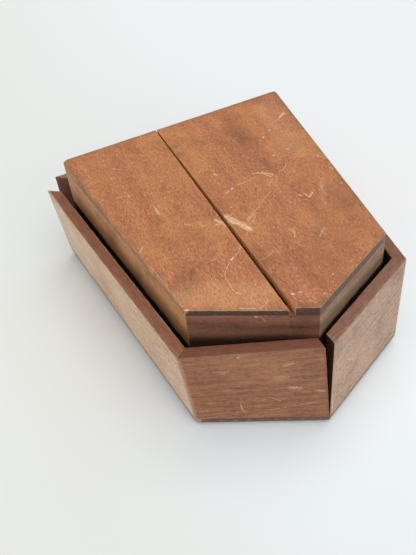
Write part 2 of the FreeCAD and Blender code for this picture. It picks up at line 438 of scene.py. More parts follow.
class Stroke(Effect):
    """One knock or scratch: a ragged, slightly bowed stroke between two places on a face."""

    name = "single_stroke"
    inputs = {"Vector": (0.0, 0.0, 0.0), "Unevenness": 0.0, "Start": (0.0, 0.0, 0.0),
              "Run": (1.0, 0.0, 0.0), "Rate": (1.0, 0.0, 0.0), "Bow": (0.0, 0.0, 0.0), "Width": 0.4,
              "Ragged": 0.3}
    outputs = ("Mask",)

    @classmethod
    def build(cls, shader: Shader, entry: bpy.types.NodeOutputs) -> Sequence[bpy.types.NodeSocket]:
        """The distance to the bowed middle line is compared with a width that noise varies.

        Args:
            shader: Where the nodes go.
            entry: The group's inputs, by name.

        Returns:
            How strongly the stroke shows.
        """
        offset = shader.vector("SUBTRACT", entry["Vector"], entry["Start"])
        step = shader.vector("DOT_PRODUCT", offset, entry["Rate"])
        along = shader.math("MINIMUM", shader.math("MAXIMUM", step, 0.0), 1.0)
        middle = shader.stretched(entry["Run"], along)
        arch = shader.math("MULTIPLY", along, shader.math("SUBTRACT", 1.0, along))
        nearest = shader.vector("ADD", middle, shader.stretched(entry["Bow"], arch))
        gap = shader.vector("LENGTH", shader.vector("SUBTRACT", offset, nearest))
        reach = shader.math("MULTIPLY_ADD", entry["Unevenness"], entry["Ragged"], gap)
        half = shader.math("MULTIPLY", entry["Width"], 0.5)
        return (shader.ramp(reach, half, shader.math("MULTIPLY", half, 0.35)),)


# --------------------------------------------------------------------------- faces and marks


@dataclass(frozen=True)
class Face:
    """The outer face of a board.

    Attributes:
        middle: A place on it.
        right: Its direction to the right.
        up: Its direction upwards.
        out: The direction that it looks.
        sink: How far worn parts of it lie below its plane.
    """

    middle: Vector
    right: Vector
    up: Vector
    out: Vector
    sink: float = 0.5

    def mapping(self) -> dict[str, tuple]:
        """Gives the turn and shift that take object coordinates to millimetres on this face.

        Returns:
            The values of a mapping node's inputs, by name.
        """
        turn = Matrix((self.right, self.up, self.out))
        shift = -(turn @ self.middle)
        size = 1.0 / MM
        return {"Rotation": tuple(turn.to_euler()), "Location": tuple(shift), "Scale": (size,) * 3}


@dataclass(frozen=True)
class Mark:
    """A knock, scratch or smear at its own place on a face.

    Attributes:
        start: Where it begins, to the right and up on the face.
        end: Where it ends.
        width: How wide it is at its widest.
        strength: How strongly it covers the wood, 0 to 1.
        bow: How far its middle stands off the straight line.
        ragged: How uneven its sides are.
        dark: Whether it is a dark stain and not a pale mark.
        LONGEST_SPOT: The length below which a pale mark is a spot.
        SHORTEST: The least length of a stroke, so that a dot has a direction too.
    """

    start: tuple[float, float]
    end: tuple[float, float]
    width: float = 0.5
    strength: float = 0.7
    bow: float = 0.0
    ragged: float = 0.5
    dark: bool = False

    LONGEST_SPOT: ClassVar[float] = 1.5
    SHORTEST: ClassVar[float] = 1e-3

    def is_spot(self) -> bool:
        """Says whether the mark is a short pale spot, which time hasn't broken up."""
        length = math.hypot(self.end[0] - self.start[0], self.end[1] - self.start[1])
        return length < self.LONGEST_SPOT and not self.dark

    def course(self) -> dict[str, tuple]:
        """Gives the stroke's start, run and bow, and how fast a step along it counts up to one.

        Returns:
            The values of the stroke effect's inputs, by name.
        """
        start, run = Vector((*self.start, 0.0)), Vector((*self.end, 0.0)) - Vector((*self.start, 0.0))
        length = max(run.length, self.SHORTEST)
        across = UP.cross(run / length) * self.bow * 4.0
        return {"Start": tuple(start), "Run": tuple(run), "Rate": tuple(run / length ** 2),
                "Bow": tuple(across)}


@dataclass(frozen=True)
class Tint:
    """The tone of those parts of a board that look one way, such as a rim or a cut end; several tints are
    painted light and shade.

    Attributes:
        direction: Where they look.
        colour: Their own main colour.
        share: How far it covers the wood.
        limits: How closely a face must look that way, for no tone and for all of it.
    """

    direction: Vector
    colour: Colour
    share: float = 1.0
    limits: tuple[float, float] = (0.6, 0.93)


@dataclass(frozen=True)
class PaintedShade:
    """Painted shade below a level: the wood is painted dark in gaps and recesses.

    Attributes:
        top: Where it ends above.
        fade: Over what height it fades there.
        side: Where the faces look that have it, if not all have it.
    """

    top: float
    fade: float
    side: Vector | None = None


# --------------------------------------------------------------------------- finishes


@dataclass(frozen=True)
class WoodFinish:
    """The finish of one kind of old board.

    Attributes:
        name: The material's name.
        deep: The colour of the dark layers.
        body: The main colour.
        bright: The colour of the bright layers.
        stain: The colour of stains.
        rubbed: The colour of rubbed edges.
        pale: The colour of scratches and knocks.
        spot: The colour of spots of paint.
        warm: The colour of its warmer patches.
        grime_and_gap_shade: The colour of the dirt beside the edges.
        painted_shade: The colour of painted shade, for gaps and recesses that must look dark.
        layer: The width of a growth layer.
        slant: How far the layers lean through the board.
        waviness: How much they wander.
        stain_share: How strongly the stains show.
        fleck_share: How strongly the flecks show.
        pore_share: How strongly the pores show.
        scratch_share: How strongly hair scratches show.
        speck_share: How many cells hold a pale speck.
        rub_reach: How far the rubbed edge reaches.
        rub_share: How far the rubbed colour covers it.
        grime_reach: How far the dirt beside it reaches.
        grime_share: How strongly that dirt shows.
        clean_sides: Whether that dirt stays off the sides of the board.
        fibre: How many fibres there are in a millimetre along and across the grain.
        layer_share: How strongly the growth layers show against the fibres.
        contrast: How far fibres and layers spread the tone.
        roughness: The roughness of the surface.
        gloss: The strength of its plain reflection.
        relief: The height of the grain's relief.
        TINT_SPREAD: The shares of a tint's tone between which the fibres vary it.
        PAINTED_SHADE_SPREAD: The same for the painted shade.
        DOT_SHARE: How strongly the pale specks cover the wood.
        WARM_SHARE: How strongly the warmer patches show.
    """

    name: str
    deep: Colour
    body: Colour
    bright: Colour
    stain: Colour
    rubbed: Colour
    pale: Colour
    spot: Colour = (236, 214, 198)
    warm: Colour = (204, 150, 104)
    grime_and_gap_shade: Colour = (106, 80, 56)
    painted_shade: Colour = (64, 44, 33)
    layer: float = 5.0
    slant: float = 0.6
    waviness: float = 1.6
    stain_share: float = 0.45
    fleck_share: float = 0.5
    pore_share: float = 0.5
    scratch_share: float = 0.3
    speck_share: float = 0.2
    rub_reach: float = 0.35
    rub_share: float = 0.6
    grime_reach: float = 2.0
    grime_share: float = 0.45
    clean_sides: bool = False
    fibre: tuple[float, float, float] = (0.14, 1.9, 1.9)
    layer_share: float = 0.3
    contrast: float = 1.0
    roughness: float = 0.5
    gloss: float = 0.35
    relief: float = 0.05

    TINT_SPREAD: ClassVar[tuple[float, float]] = (0.82, 1.14)
    PAINTED_SHADE_SPREAD: ClassVar[tuple[float, float]] = (0.75, 1.3)
    DOT_SHARE: ClassVar[float] = 0.8
    WARM_SHARE: ClassVar[float] = 0.45

    def material(self, name: str, face: Face, turn: float, shift: float, marks: Sequence[Mark],
                 tints: Sequence[Tint], painted_shade: PaintedShade | None) -> bpy.types.Material:
        """Builds the material of one board.

        Args:
            name: The board's own name.
            face: The board's outer face, which places grain and marks.
            turn: How far the grain is turned on that face, in degrees.
            shift: How far this board was cut from the last one, in the tree.
            marks: The single marks on its outer face.
            tints: The tones of its rims, sides and ends.
            painted_shade: The band of painted shade on it, if it has one.

        Returns:
            The material.
        """
        material = bpy.data.materials.new(f"{self.name}_{name}")
        material.use_nodes = True
        material.node_tree.nodes.clear()
        shader = Shader(material.node_tree)
        coordinates = shader.add("ShaderNodeTexCoord").outputs
        on_face = shader.add("ShaderNodeMapping", {"Vector": coordinates["Object"], **face.mapping()})
        place = on_face.outputs["Vector"]
        grained = shader.turned(place, turn, (shift, shift * 0.37, shift * 0.11))
        gap = shader.add("ShaderNodeAttribute", attribute_name=EDGE_GAP).outputs["Fac"]

        grain = Grain.use(shader, Vector=grained, Fibre=self.fibre, Layer=self.layer,
                          Slant=self.slant, Waviness=self.waviness)
        stains = Stains.use(shader, Vector=grained)
        wear = EdgeWear.use(shader, Vector=grained, Gap=gap, Reach=self.rub_reach,
                            Grime_reach=self.grime_reach)
        hairs = Scratches.use(shader, Vector=grained)["Lines"]
        dots = Specks.use(shader, Vector=place, Share=self.speck_share)["Dots"]

        colour = self.wood_colour(shader, grain, stains)
        for tint in tints:
            facing = shader.facing(coordinates["Normal"], tint.direction)
            tone = self.fibred(shader, grain["Fibres"], tint.colour, self.TINT_SPREAD)
            colour = shader.mix(shader.ramp(facing, *tint.limits, 0.0, tint.share), colour, tone)
        grimy = shader.math("MULTIPLY", wear["Grime"], self.grime_share)
        if self.clean_sides:
            facing = shader.facing(coordinates["Normal"], face.out)
            grimy = shader.math("MULTIPLY", grimy, shader.ramp(facing, 0.4, 0.8))
        colour = shader.mix(grimy, colour, srgb(*self.grime_and_gap_shade))
        rubbed = shader.math("MULTIPLY", wear["Rubbed"], self.rub_share)
        colour = shader.mix(rubbed, colour, srgb(*self.rubbed))
        pale, spots, dark = self.single_marks(shader, place, face.sink, marks)
        colour = shader.mix(dark, colour, srgb(*self.stain))
        lines = shader.math("MULTIPLY", hairs, self.scratch_share)
        light = shader.math("MAXIMUM", lines, pale)
        light = shader.math("MAXIMUM", light, shader.math("MULTIPLY", dots, self.DOT_SHARE))
        colour = shader.mix(light, colour, srgb(*self.pale))
        colour = shader.mix(spots, colour, srgb(*self.spot))
        gloss: object = self.gloss
        # Painted shade: below its level the wood is painted dark and its reflection dulled.
        if painted_shade:
            painted_shade_amount = self.painted_shade_share(shader, coordinates, painted_shade)
            tone = self.fibred(shader, grain["Fibres"], self.painted_shade, self.PAINTED_SHADE_SPREAD)
            colour = shader.mix(painted_shade_amount, colour, tone)
            gloss = shader.math("MULTIPLY_ADD", painted_shade_amount, -self.gloss, self.gloss)

        rough = shader.math("MULTIPLY_ADD", grain["Fibres"], 0.18, self.roughness - 0.09)
        rough = shader.math("MULTIPLY_ADD", light, 0.2, rough, clamp=True)
        height = shader.math("MULTIPLY_ADD", grain["Pores"], -1.0, grain["Fibres"])
        height = shader.math("MULTIPLY_ADD", hairs, -0.4, height)
        bump = shader.add("ShaderNodeBump", {"Height": height, "Strength": 0.6,
                                             "Distance": self.relief * MM})
        surface = shader.add("ShaderNodeBsdfPrincipled", {
            "Base Color": colour, "Roughness": rough, "Normal": bump.outputs[0],
            "Specular IOR Level": gloss})
        shader.add("ShaderNodeOutputMaterial", {"Surface": surface.outputs[0]})
        return material

    @staticmethod
    def painted_shade_share(shader: Shader, coordinates: bpy.types.NodeOutputs,
                   painted_shade: PaintedShade) -> bpy.types.NodeSocket:
        """Works out how far a band of painted shade covers the wood.

        Args:
            shader: The material's shader.
            coordinates: The material's coordinates.
            painted_shade: The band of painted shade.

        Returns:
            The share, from 0 to 1.
        """
        lumps, unevenness = 110.0, 3.0
        height = shader.add("ShaderNodeSeparateXYZ", {0: coordinates["Object"]}).outputs[2]
        uneven = shader.noise(coordinates["Object"], lumps, 3.0, 0.6)
        level = shader.math("MULTIPLY", height, 1.0 / MM)
        level = shader.math("MULTIPLY_ADD", uneven, unevenness, level)
        level = shader.math("SUBTRACT", level, unevenness / 2)
        share = shader.ramp(level, painted_shade.top, painted_shade.top - painted_shade.fade)
        if painted_shade.side is None:
            return share
        facing = shader.facing(coordinates["Normal"], painted_shade.side)
        return shader.math("MULTIPLY", share, shader.ramp(facing, 0.5, 0.8))

    @staticmethod
    def shade(colour: Colour, share: float) -> tuple[float, float, float, float]:
        """Makes a painter's colour darker or lighter by a share."""
        return srgb(*[min(255, round(part * share)) for part in colour])

    def fibred(self, shader: Shader, fibres: bpy.types.NodeSocket, colour: Colour,
               spread: tuple[float, float]) -> bpy.types.NodeSocket:
        """Varies one colour from fibre to fibre.

        Args:
            shader: The material's shader.
            fibres: The fibres, from 0 to 1.
            colour: The colour.
            spread: The shares of it between which it varies.

        Returns:
            The varied colour.
        """
        darker, lighter = [self.shade(colour, share) for share in spread]
        return shader.mix(shader.ramp(fibres, 0.3, 0.7), darker, lighter)

    def wood_colour(self, shader: Shader, grain: bpy.types.NodeOutputs,
                    stains: bpy.types.NodeOutputs) -> bpy.types.NodeSocket:
        """Mixes the colour of the bare wood from its grain and stains.

        Args:
            shader: The material's shader.
            grain: The layers, fibres, flecks and pores.
            stains: The dark and warm patches.

        Returns:
            The wood's colour.
        """
        tone = shader.math("MULTIPLY", grain["Layers"], self.layer_share)
        tone = shader.math("MULTIPLY_ADD", grain["Fibres"], 1.0 - self.layer_share, tone)
        reach = 0.25 / self.contrast
        colour = shader.mix(shader.ramp(tone, 0.5 - reach, 0.5), srgb(*self.deep), srgb(*self.body))
        colour = shader.mix(shader.ramp(tone, 0.5, 0.5 + reach), colour, srgb(*self.bright))
        warm = shader.math("MULTIPLY", stains["Warm"], self.WARM_SHARE)
        colour = shader.mix(warm, colour, srgb(*self.warm))
        fleck = shader.math("MULTIPLY", shader.ramp(grain["Flecks"], 0.51, 0.66), self.fleck_share)
        colour = shader.mix(fleck, colour, self.shade(self.bright, 1.12))
        shadow = shader.math("MULTIPLY", shader.ramp(grain["Flecks"], 0.49, 0.34), self.fleck_share)
        colour = shader.mix(shadow, colour, srgb(*self.deep))
        dark = shader.math("MULTIPLY", stains["Dark"], self.stain_share)
        colour = shader.mix(dark, colour, srgb(*self.stain))
        pores = shader.math("MULTIPLY", grain["Pores"], self.pore_share)
        return shader.mix(pores, colour, self.shade(self.deep, 0.6))

    @staticmethod
    def single_marks(shader: Shader, place: bpy.types.NodeSocket, sink: float,
                     marks: Sequence[Mark]) -> tuple[object, object, object]:
        """Gathers the single marks of a face.

        Args:
            shader: The material's shader.
            place: The place on the face.
            sink: How far worn parts of the face lie below its plane.
            marks: The marks.

        Returns:
            The shares of pale strokes, of pale spots and of dark strokes.
        """
        depth = shader.add("ShaderNodeSeparateXYZ", {0: place}).outputs[2]
        outside = shader.ramp(depth, -1.3 * sink, -sink)
        flat = shader.scaled(place, (1.0, 1.0, 0.0))
        uneven = shader.math("SUBTRACT", shader.noise(place, 1.6, 4.0, 0.75), 0.5)
        spots: object = 0.0
        shares: list[object] = [0.0, 0.0]
        for mark in marks:
            mask = Stroke.use(shader, Vector=flat, Unevenness=uneven, Width=mark.width,
                              Ragged=mark.ragged, **mark.course())["Mask"]
            share = shader.math("MULTIPLY", mask, mark.strength)
            if mark.is_spot():
                spots = shader.math("MAXIMUM", spots, shader.math("MULTIPLY", share, 0.8))
                continue
            shares[mark.dark] = shader.math("MAXIMUM", shares[mark.dark], share)
        broken = shader.ramp(shader.noise(place, 1.1, 3.0, 0.7), 0.36, 0.56, 0.3, 1.0)
        pale, dark = [shader.math("MULTIPLY", share, broken) for share in shares]
        return tuple(shader.math("MULTIPLY", share, outside) for share in (pale, spots, dark))


TOP_WOOD = WoodFinish(
    name="top_wood", deep=(146, 80, 56), body=(184, 115, 73), bright=(214, 148, 102),
    stain=(112, 71, 47), rubbed=(200, 160, 122), pale=(250, 210, 168), warm=(216, 146, 84),
    layer=9.0, slant=0.3, waviness=1.2, layer_share=0.1, fleck_share=0.6, pore_share=0.6,
    scratch_share=0.05, speck_share=0.12, grime_and_gap_shade=(142, 108, 78), grime_share=0.7, grime_reach=2.8,
    clean_sides=True, fibre=(0.26, 1.7, 1.7))
COVER_WOOD = WoodFinish(
    name="cover_wood", deep=(122, 80, 46), body=(160, 114, 72), bright=(184, 136, 88),
    stain=(96, 68, 46), rubbed=(180, 140, 96), pale=(220, 196, 168), warm=(184, 136, 88),
    layer=6.0, scratch_share=0.05, speck_share=0.08)
# A lighter copy of the cover wood for the left wall: painted light.
GOLDEN_COVER_WOOD = replace(
    COVER_WOOD, name="golden_cover_wood", deep=(184, 124, 82), body=(216, 150, 102),
    bright=(232, 170, 120), warm=(232, 170, 120), layer_share=0.15)
# A darker copy for the front-left wall: partly darker wood, partly painted shade from the gap below.
RED_COVER_WOOD = replace(
    COVER_WOOD, name="red_cover_wood", deep=(92, 54, 42), body=(130, 86, 66),
    bright=(150, 102, 78), warm=(150, 102, 78), rubbed=(150, 108, 82))
# A lighter, greyer copy for the front-right wall: painted light.
GREY_COVER_WOOD = replace(
    COVER_WOOD, name="grey_cover_wood", deep=(128, 98, 76), body=(162, 130, 104),
    bright=(186, 154, 126), warm=(186, 154, 126), rubbed=(178, 148, 120))
TRAY_WOOD = WoodFinish(
    name="tray_wood", deep=(92, 52, 34), body=(147, 93, 60), bright=(180, 122, 84),
    stain=(96, 64, 48), rubbed=(174, 126, 96), pale=(208, 174, 142), warm=(184, 126, 88),
    layer=3.0, slant=0.2, waviness=0.8, layer_share=0.06, fleck_share=0.35, pore_share=1.0,
    stain_share=0.2, scratch_share=0.06, rub_share=0.35, contrast=1.6, fibre=(0.24, 2.5, 2.5))
# A pale copy of the tray wood for the left wall: painted sheen, the grazing reflection of the pale
# surroundings.
SHEEN_LEFT_TRAY_WOOD = replace(
    TRAY_WOOD, name="sheen_left_tray_wood", deep=(188, 130, 94), body=(226, 174, 136),
    bright=(252, 218, 184), warm=(252, 218, 184), stain=(166, 122, 92), rubbed=(206, 176, 148),
    pale=(240, 226, 206), grime_and_gap_shade=(150, 116, 92), gloss=0.5, contrast=2.0, fleck_share=0.55,
    fibre=(0.12, 1.7, 1.7))
# A paler, greyer copy for the front-right wall: painted light and sheen on that side.
SHEEN_GREY_TRAY_WOOD = replace(
    SHEEN_LEFT_TRAY_WOOD, name="sheen_grey_tray_wood", deep=(130, 94, 74), body=(178, 139, 112),
    bright=(210, 174, 144), warm=(206, 166, 136), stain=(128, 90, 72), rubbed=(184, 150, 126),
    stain_share=0.5, contrast=1.5, fibre=(0.4, 2.0, 2.0))
FLOOR_WOOD = replace(
    TRAY_WOOD, name="floor_wood", deep=(74, 50, 38), body=(102, 72, 55), bright=(124, 90, 70),
    warm=(124, 90, 70))


# --------------------------------------------------------------------------- boards


def planar(*parts: float) -> Vector:
    """Makes a unit vector."""
    return Vector(parts).normalized()


@dataclass(frozen=True)
class SoftEdge:
    """An edge with a radius of its own.

    Attributes:
        faces: The directions that its two faces look.
        radius: Its radius.
        rubbed: Whether it is rubbed and grimy, as a free edge is.
    """

    faces: tuple[Vector, Vector]
    radius: float
    rubbed: bool = True

    def fits(self, first: Vector, second: Vector) -> bool:
        """Says whether an edge between faces with these normals is the one that is meant.

        Args:
            first: One face's normal.
            second: The other face's normal.

        Returns:
            True if both look the ways that are meant.
        """
        near = 0.97
        one, two = self.faces
        straight = first.dot(one) > near and second.dot(two) > near
        return straight or (first.dot(two) > near and second.dot(one) > near)


@dataclass
class Board:
    """One board of the box, made from its solid in the frame.

    Attributes:
        node: The board's node in the frame.
        finish: The finish of its wood.
        body: The rigid body that it rides.
        slot: The material slot that it belongs to; not used.
        flat: Whether it lies flat, with its grain from nose to back.
        rounding: The radius of its free edges.
        joint_rounding: The radius of the edges that are glued to another board.
        own_corners: Places on the plan, each with the radius of the standing corner nearest to it.
        pitch: The spacing of the points on its faces.
        wear: How deep its free edges are worn.
        shift: How far it was cut from the other boards, in the tree.
        soft_edges: The edges that are rounder than the rest.
        marks: The single marks on its outer face.
        tints: The tones of its rims, sides and ends.
        painted_shade: The band of painted shade on it, if it has one.
        piece: The object that is made.
        face: Its outer face.
        SUPPORTS: How far from an edge the points beside it lie.
        SHARP: The least angle of an edge that is rounded.
        SMOOTH: The largest angle that is shaded smoothly.
        FLAT: The largest angle between two triangles of one flat face.
        GLUED: How near another board the middle of a glued edge lies.
        WORN_FROM: The least radius of an edge that is worn.
        FAR: The distance that stands for no edge at all.
        TOP_SINK: How far worn parts of a flat board lie below its highest place.
        UPRIGHT: The largest lean of a side that counts as standing.
    """

    node: str
    finish: WoodFinish
    body: Body
    slot: Slot
    flat: bool = False
    rounding: float = 0.35
    joint_rounding: float = 0.07
    own_corners: tuple[tuple[float, float, float], ...] = ()
    pitch: float = 2.0
    wear: float = 0.22
    shift: float = 0.0
    soft_edges: tuple[SoftEdge, ...] = ()
    marks: tuple[Mark, ...] = ()
    tints: tuple[Tint, ...] = ()
    painted_shade: PaintedShade | None = None
    piece: bpy.types.Object = field(init=False)
    face: Face = field(init=False)

    SUPPORTS: ClassVar[tuple[float, ...]] = (0.6, 1.3, 2.6)
    SHARP: ClassVar[float] = math.radians(40)
    SMOOTH: ClassVar[float] = math.radians(38)
    FLAT: ClassVar[float] = math.radians(0.5)
    GLUED: ClassVar[float] = 0.03
    WORN_FROM: ClassVar[float] = 0.3
    FAR: ClassVar[float] = 50.0
    TOP_SINK: ClassVar[float] = 2.0
    UPRIGHT: ClassVar[float] = 0.02

    def start(self) -> None:
        """Copies the solid's mesh, merges its points and joins its flat triangles."""
        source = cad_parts[self.node]
        self.piece = bpy.data.objects.new(f"{self.node}_worn", source.data.copy())
        self.piece.data.materials.clear()
        bpy.context.scene.collection.objects.link(self.piece)
        with Editing(self.piece):
            bpy.ops.mesh.remove_doubles(threshold=0.001 * MM)
            bpy.ops.mesh.dissolve_limited(angle_limit=self.FLAT)
        self.face = self.find_face()

    def find_face(self) -> Face:
        """Finds the board's outer face.

        Returns:
            The face: of a flat board the upper one, measured from the box's own middle, and of a
            wall the large face that looks away from the box, measured from its own middle.
        """
        mesh = self.piece.data
        if self.flat:
            height = max(vertex.co.z for vertex in mesh.vertices) / MM
            return Face(UP * height, planar(1, 0, 0), planar(0, 1, 0), UP.copy(), self.TOP_SINK)
        centre = sum((vertex.co for vertex in mesh.vertices), Vector()) / len(mesh.vertices)
        away = planar(centre.x, centre.y, 0.0)
        outer = max(mesh.polygons, key=lambda face: face.area * (face.normal.dot(away) > 0.5))
        corners = [mesh.vertices[index].co for index in outer.vertices]
        pairs = list(zip(corners, corners[1:] + corners[:1]))
        top_edge = max(pairs, key=lambda pair: pair[0].z + pair[1].z)
        right = (top_edge[1] - top_edge[0]).normalized()
        if right.dot(UP.cross(outer.normal)) < 0:
            right.negate()
        middle = sum(corners, Vector()) / len(corners) / MM
        out = outer.normal.copy()
        return Face(middle, right, out.cross(right), out)

    def soften(self, neighbours: Sequence[BVHTree]) -> dict[str, np.ndarray]:
        """Rounds the edges: glued ones hardly, free ones by the board's rounding.

        The weight of an edge holds its radius, so the bevel itself is one millimetre wide.

        Args:
            neighbours: The surfaces of the other boards of the same body.

        Returns:
            The ends, in metres, of the free edges, and of those that are round enough to be worn.
        """
        mesh = self.piece.data
        edit = bmesh.new()
        edit.from_mesh(mesh)
        layer = edit.edges.layers.float.new("bevel_weight_edge")
        ends: dict[str, list] = {"free": [], "worn": []}
        for edge in edit.edges:
            if edge.calc_face_angle(0.0) < self.SHARP:
                continue
            middle = (edge.verts[0].co + edge.verts[1].co) / 2
            glued = any(tree.find_nearest(middle)[3] < self.GLUED * MM for tree in neighbours)
            radius = self.joint_rounding if glued else self.rounding
            normals = [linked.normal for linked in edge.link_faces]
            rubbed = not glued
            for soft in self.soft_edges:
                if soft.fits(*normals):
                    radius, rubbed = soft.radius, soft.rubbed
            edge[layer] = radius
            places = [tuple(vertex.co) for vertex in edge.verts]
            if rubbed:
                ends["free"].append(places)
            if rubbed and radius >= self.WORN_FROM:
                ends["worn"].append(places)
        edit.to_mesh(mesh)
        edit.free()
        bevel = self.piece.modifiers.new("soft edges", "BEVEL")
        bevel.limit_method = "WEIGHT"
        bevel.width = 1.0 * MM
        bevel.segments = 3
        bevel.loop_slide = False
        bevel.use_clamp_overlap = True
        apply_modifier(self.piece, bevel)
        return {kind: np.array(places).reshape(-1, 2, 3) for kind, places in ends.items()}

    def shave(self, corner: Vector, first: Vector, second: Vector, radius: float) -> None:
        """Cuts a standing corner round with planes that touch its arc.

        Args:
            corner: A place on the corner.
            first: The normal of one side.
            second: The normal of the other side.
            radius: The radius of the arc.
        """
        centre = corner - (first + second) * radius / (1.0 + first.dot(second))
        steps = 5
        with Editing(self.piece):
            for step in range(1, steps):
                normal = first.lerp(second, step / steps).normalized()
                bpy.ops.mesh.select_all(action="SELECT")
                bpy.ops.mesh.bisect(plane_co=(centre + normal * radius) * MM, plane_no=normal,
                                    use_fill=True, clear_outer=True, threshold=0.0005 * MM)

    def plan_corners(self) -> list[tuple[Vector, Vector, Vector, float]]:
        """Finds the standing corners that have a radius of their own.

        Returns:
            For each corner a place, the normals of its two sides and its radius.
        """
        edit = bmesh.new()
        edit.from_mesh(self.piece.data)
        corners = []
        for x, y, radius in self.own_corners:
            standing = [edge for edge in edit.edges if len(edge.link_faces) == 2
                        and edge.calc_face_angle() > self.SHARP
                        and max(abs(face.normal.z) for face in edge.link_faces) < self.UPRIGHT]
            place = Vector((x, y))
            nearest = min(standing, key=lambda edge: (edge.verts[0].co.xy / MM - place).length)
            sides = [face.normal.copy() for face in nearest.link_faces]
            corners.append((nearest.verts[0].co / MM, *sides, radius))
        edit.free()
        return corners

    def slice(self) -> None:
        """Cuts the faces into a net of points, closer beside the edges."""
        planes = self.side_planes()
        cuts = [(point - normal * depth * MM, normal)
                for point, normal in planes for depth in self.SUPPORTS]
        across = (self.face.right, self.face.up)
        middle = self.face.middle * MM
        offsets = [vertex.co - middle for vertex in self.piece.data.vertices]
        for direction in across:
            spread = [offset.dot(direction) / MM for offset in offsets]
            first = math.ceil(min(spread) / self.pitch)
            last = math.floor(max(spread) / self.pitch)
            cuts += [(middle + direction * step * self.pitch * MM, direction)
                     for step in range(first, last + 1)]
        with Editing(self.piece):
            for point, normal in cuts:
                bpy.ops.mesh.select_all(action="SELECT")
                bpy.ops.mesh.bisect(plane_co=point, plane_no=normal, threshold=0.002 * MM)

    def side_planes(self) -> list[tuple[Vector, Vector]]:
        """Lists the planes of the board's main faces.

        Returns:
            A point and a normal for each face that isn't part of a rounded edge.
        """
        least = 20.0 * MM * MM
        slanted = (0.15, 0.99)
        return [(polygon.center.copy(), polygon.normal.copy())
                for polygon in self.piece.data.polygons
                if polygon.area > least and not slanted[0] < abs(polygon.normal.z) < slanted[1]]

    def gaps_to(self, edges: np.ndarray) -> np.ndarray:
        """Measures each point's distance to the nearest of some edges.

        Args:
            edges: The ends of the edges, two by two, in metres.

        Returns:
            One distance for each point, or a large one where there are no edges.
        """
        mesh = self.piece.data
        if not len(edges):
            return np.full(len(mesh.vertices), self.FAR)
        places = np.empty(len(mesh.vertices) * 3)
        mesh.vertices.foreach_get("co", places)
        places = places.reshape(-1, 1, 3)
        starts, runs = edges[None, :, 0], (edges[:, 1] - edges[:, 0])[None]
        offsets = places - starts
        share = np.clip((offsets * runs).sum(2) / (runs * runs).sum(2), 0.0, 1.0)
        return np.linalg.norm(offsets - runs * share[..., None], axis=2).min(1) / MM

    def measure(self, ends: dict[str, np.ndarray]) -> None:
        """Writes on the mesh how far each point is from a free edge, and which points wear.

        Args:
            ends: The ends of the free and of the worn edges.
        """
        attribute = self.piece.data.attributes.new(EDGE_GAP, "FLOAT", "POINT")
        attribute.data.foreach_set("value", self.gaps_to(ends["free"]).astype(np.float32))
        group = self.piece.vertex_groups.new(name="edges")
        for index, gap in enumerate(self.gaps_to(ends["worn"])):
            weight = max(0.0, 1.0 - gap / self.SUPPORTS[1])
            if weight > 0:
                group.add([index], weight, "REPLACE")

    def weather(self) -> None:
        """Wears the edges unevenly and makes the faces slightly uneven."""
        for name, size, strength, group in (
            ("edge wear", 2.2, -self.wear, "edges"),
            ("uneven faces", 9.0, -0.05, ""),
        ):
            clouds = bpy.data.textures.get(name) or bpy.data.textures.new(name, "CLOUDS")
            clouds.noise_scale = size * MM
            clouds.noise_depth = 2
            push = self.piece.modifiers.new(name, "DISPLACE")
            push.texture = clouds
            push.texture_coords = "LOCAL"
            push.strength = strength * MM
            push.mid_level = 0.25
            push.vertex_group = group
            apply_modifier(self.piece, push)

    def finish_piece(self) -> None:
        """Smooths the shading, gives the wood and places the piece in the frame."""
        select_only(self.piece)
        bpy.ops.object.shade_smooth_by_angle(angle=self.SMOOTH)
        turn = 90.0 if self.flat else 0.0
        material = self.finish.material(self.node, self.face, turn, self.shift, self.marks,
                                        self.tints, self.painted_shade)
        self.piece.data.materials.append(material)
        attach(self.piece, self.body.value)
        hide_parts(self.node)

    def build(self, corners: Sequence[tuple[Vector, Vector, Vector, float]],
              neighbours: Sequence[BVHTree]) -> None:
        """Makes the whole board.

        Args:
            corners: The standing corners to shave: a place, two normals and a radius.
            neighbours: The surfaces of the other boards of the same body.
        """
        for corner in self.plan_corners() or corners:
            self.shave(*corner)
        ends = self.soften(neighbours)
        self.slice()
        self.measure(ends)
        self.weather()
        self.finish_piece()
        log.info("%s: %d points, %d marks, %s", self.piece.name, len(self.piece.data.vertices),
                 len(self.marks), self.finish.name)


class Editing:
    """Holds one piece in edit mode with all of it selected, and leaves edit mode at the end."""

    def __init__(self, piece: bpy.types.Object) -> None:
        """Keeps the piece to edit."""
        self.piece = piece

    def __enter__(self) -> bpy.types.Object:
        """Selects the piece alone and enters edit mode.

        Returns:
            The piece.
        """
        select_only(self.piece)
        bpy.ops.object.mode_set(mode="EDIT")
        bpy.ops.mesh.select_all(action="SELECT")
        return self.piece

    def __exit__(self, *problem: object) -> None:
        """Goes back to object mode."""
        bpy.ops.object.mode_set(mode="OBJECT")


def select_only(piece: bpy.types.Object) -> None:
    """Deselects everything, then selects one object and makes it the active one.

    Args:
        piece: The object.
    """
    bpy.ops.object.select_all(action="DESELECT")
    piece.select_set(True)
    bpy.context.view_layer.objects.active = piece


def apply_modifier(piece: bpy.types.Object, modifier: bpy.types.Modifier) -> None:
    """Makes a modifier's result the piece's own mesh."""
    select_only(piece)
    bpy.ops.object.modifier_apply(modifier=modifier.name)


def surface_of(node: str) -> BVHTree:
    """Makes a search tree of a node's surface.

    Args:
        node: The node's name in the frame.

    Returns:
        The search tree, in metres.
    """
    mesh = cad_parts[node].data
    return BVHTree.FromPolygons([vertex.co for vertex in mesh.vertices],
                                [tuple(polygon.vertices) for polygon in mesh.polygons])


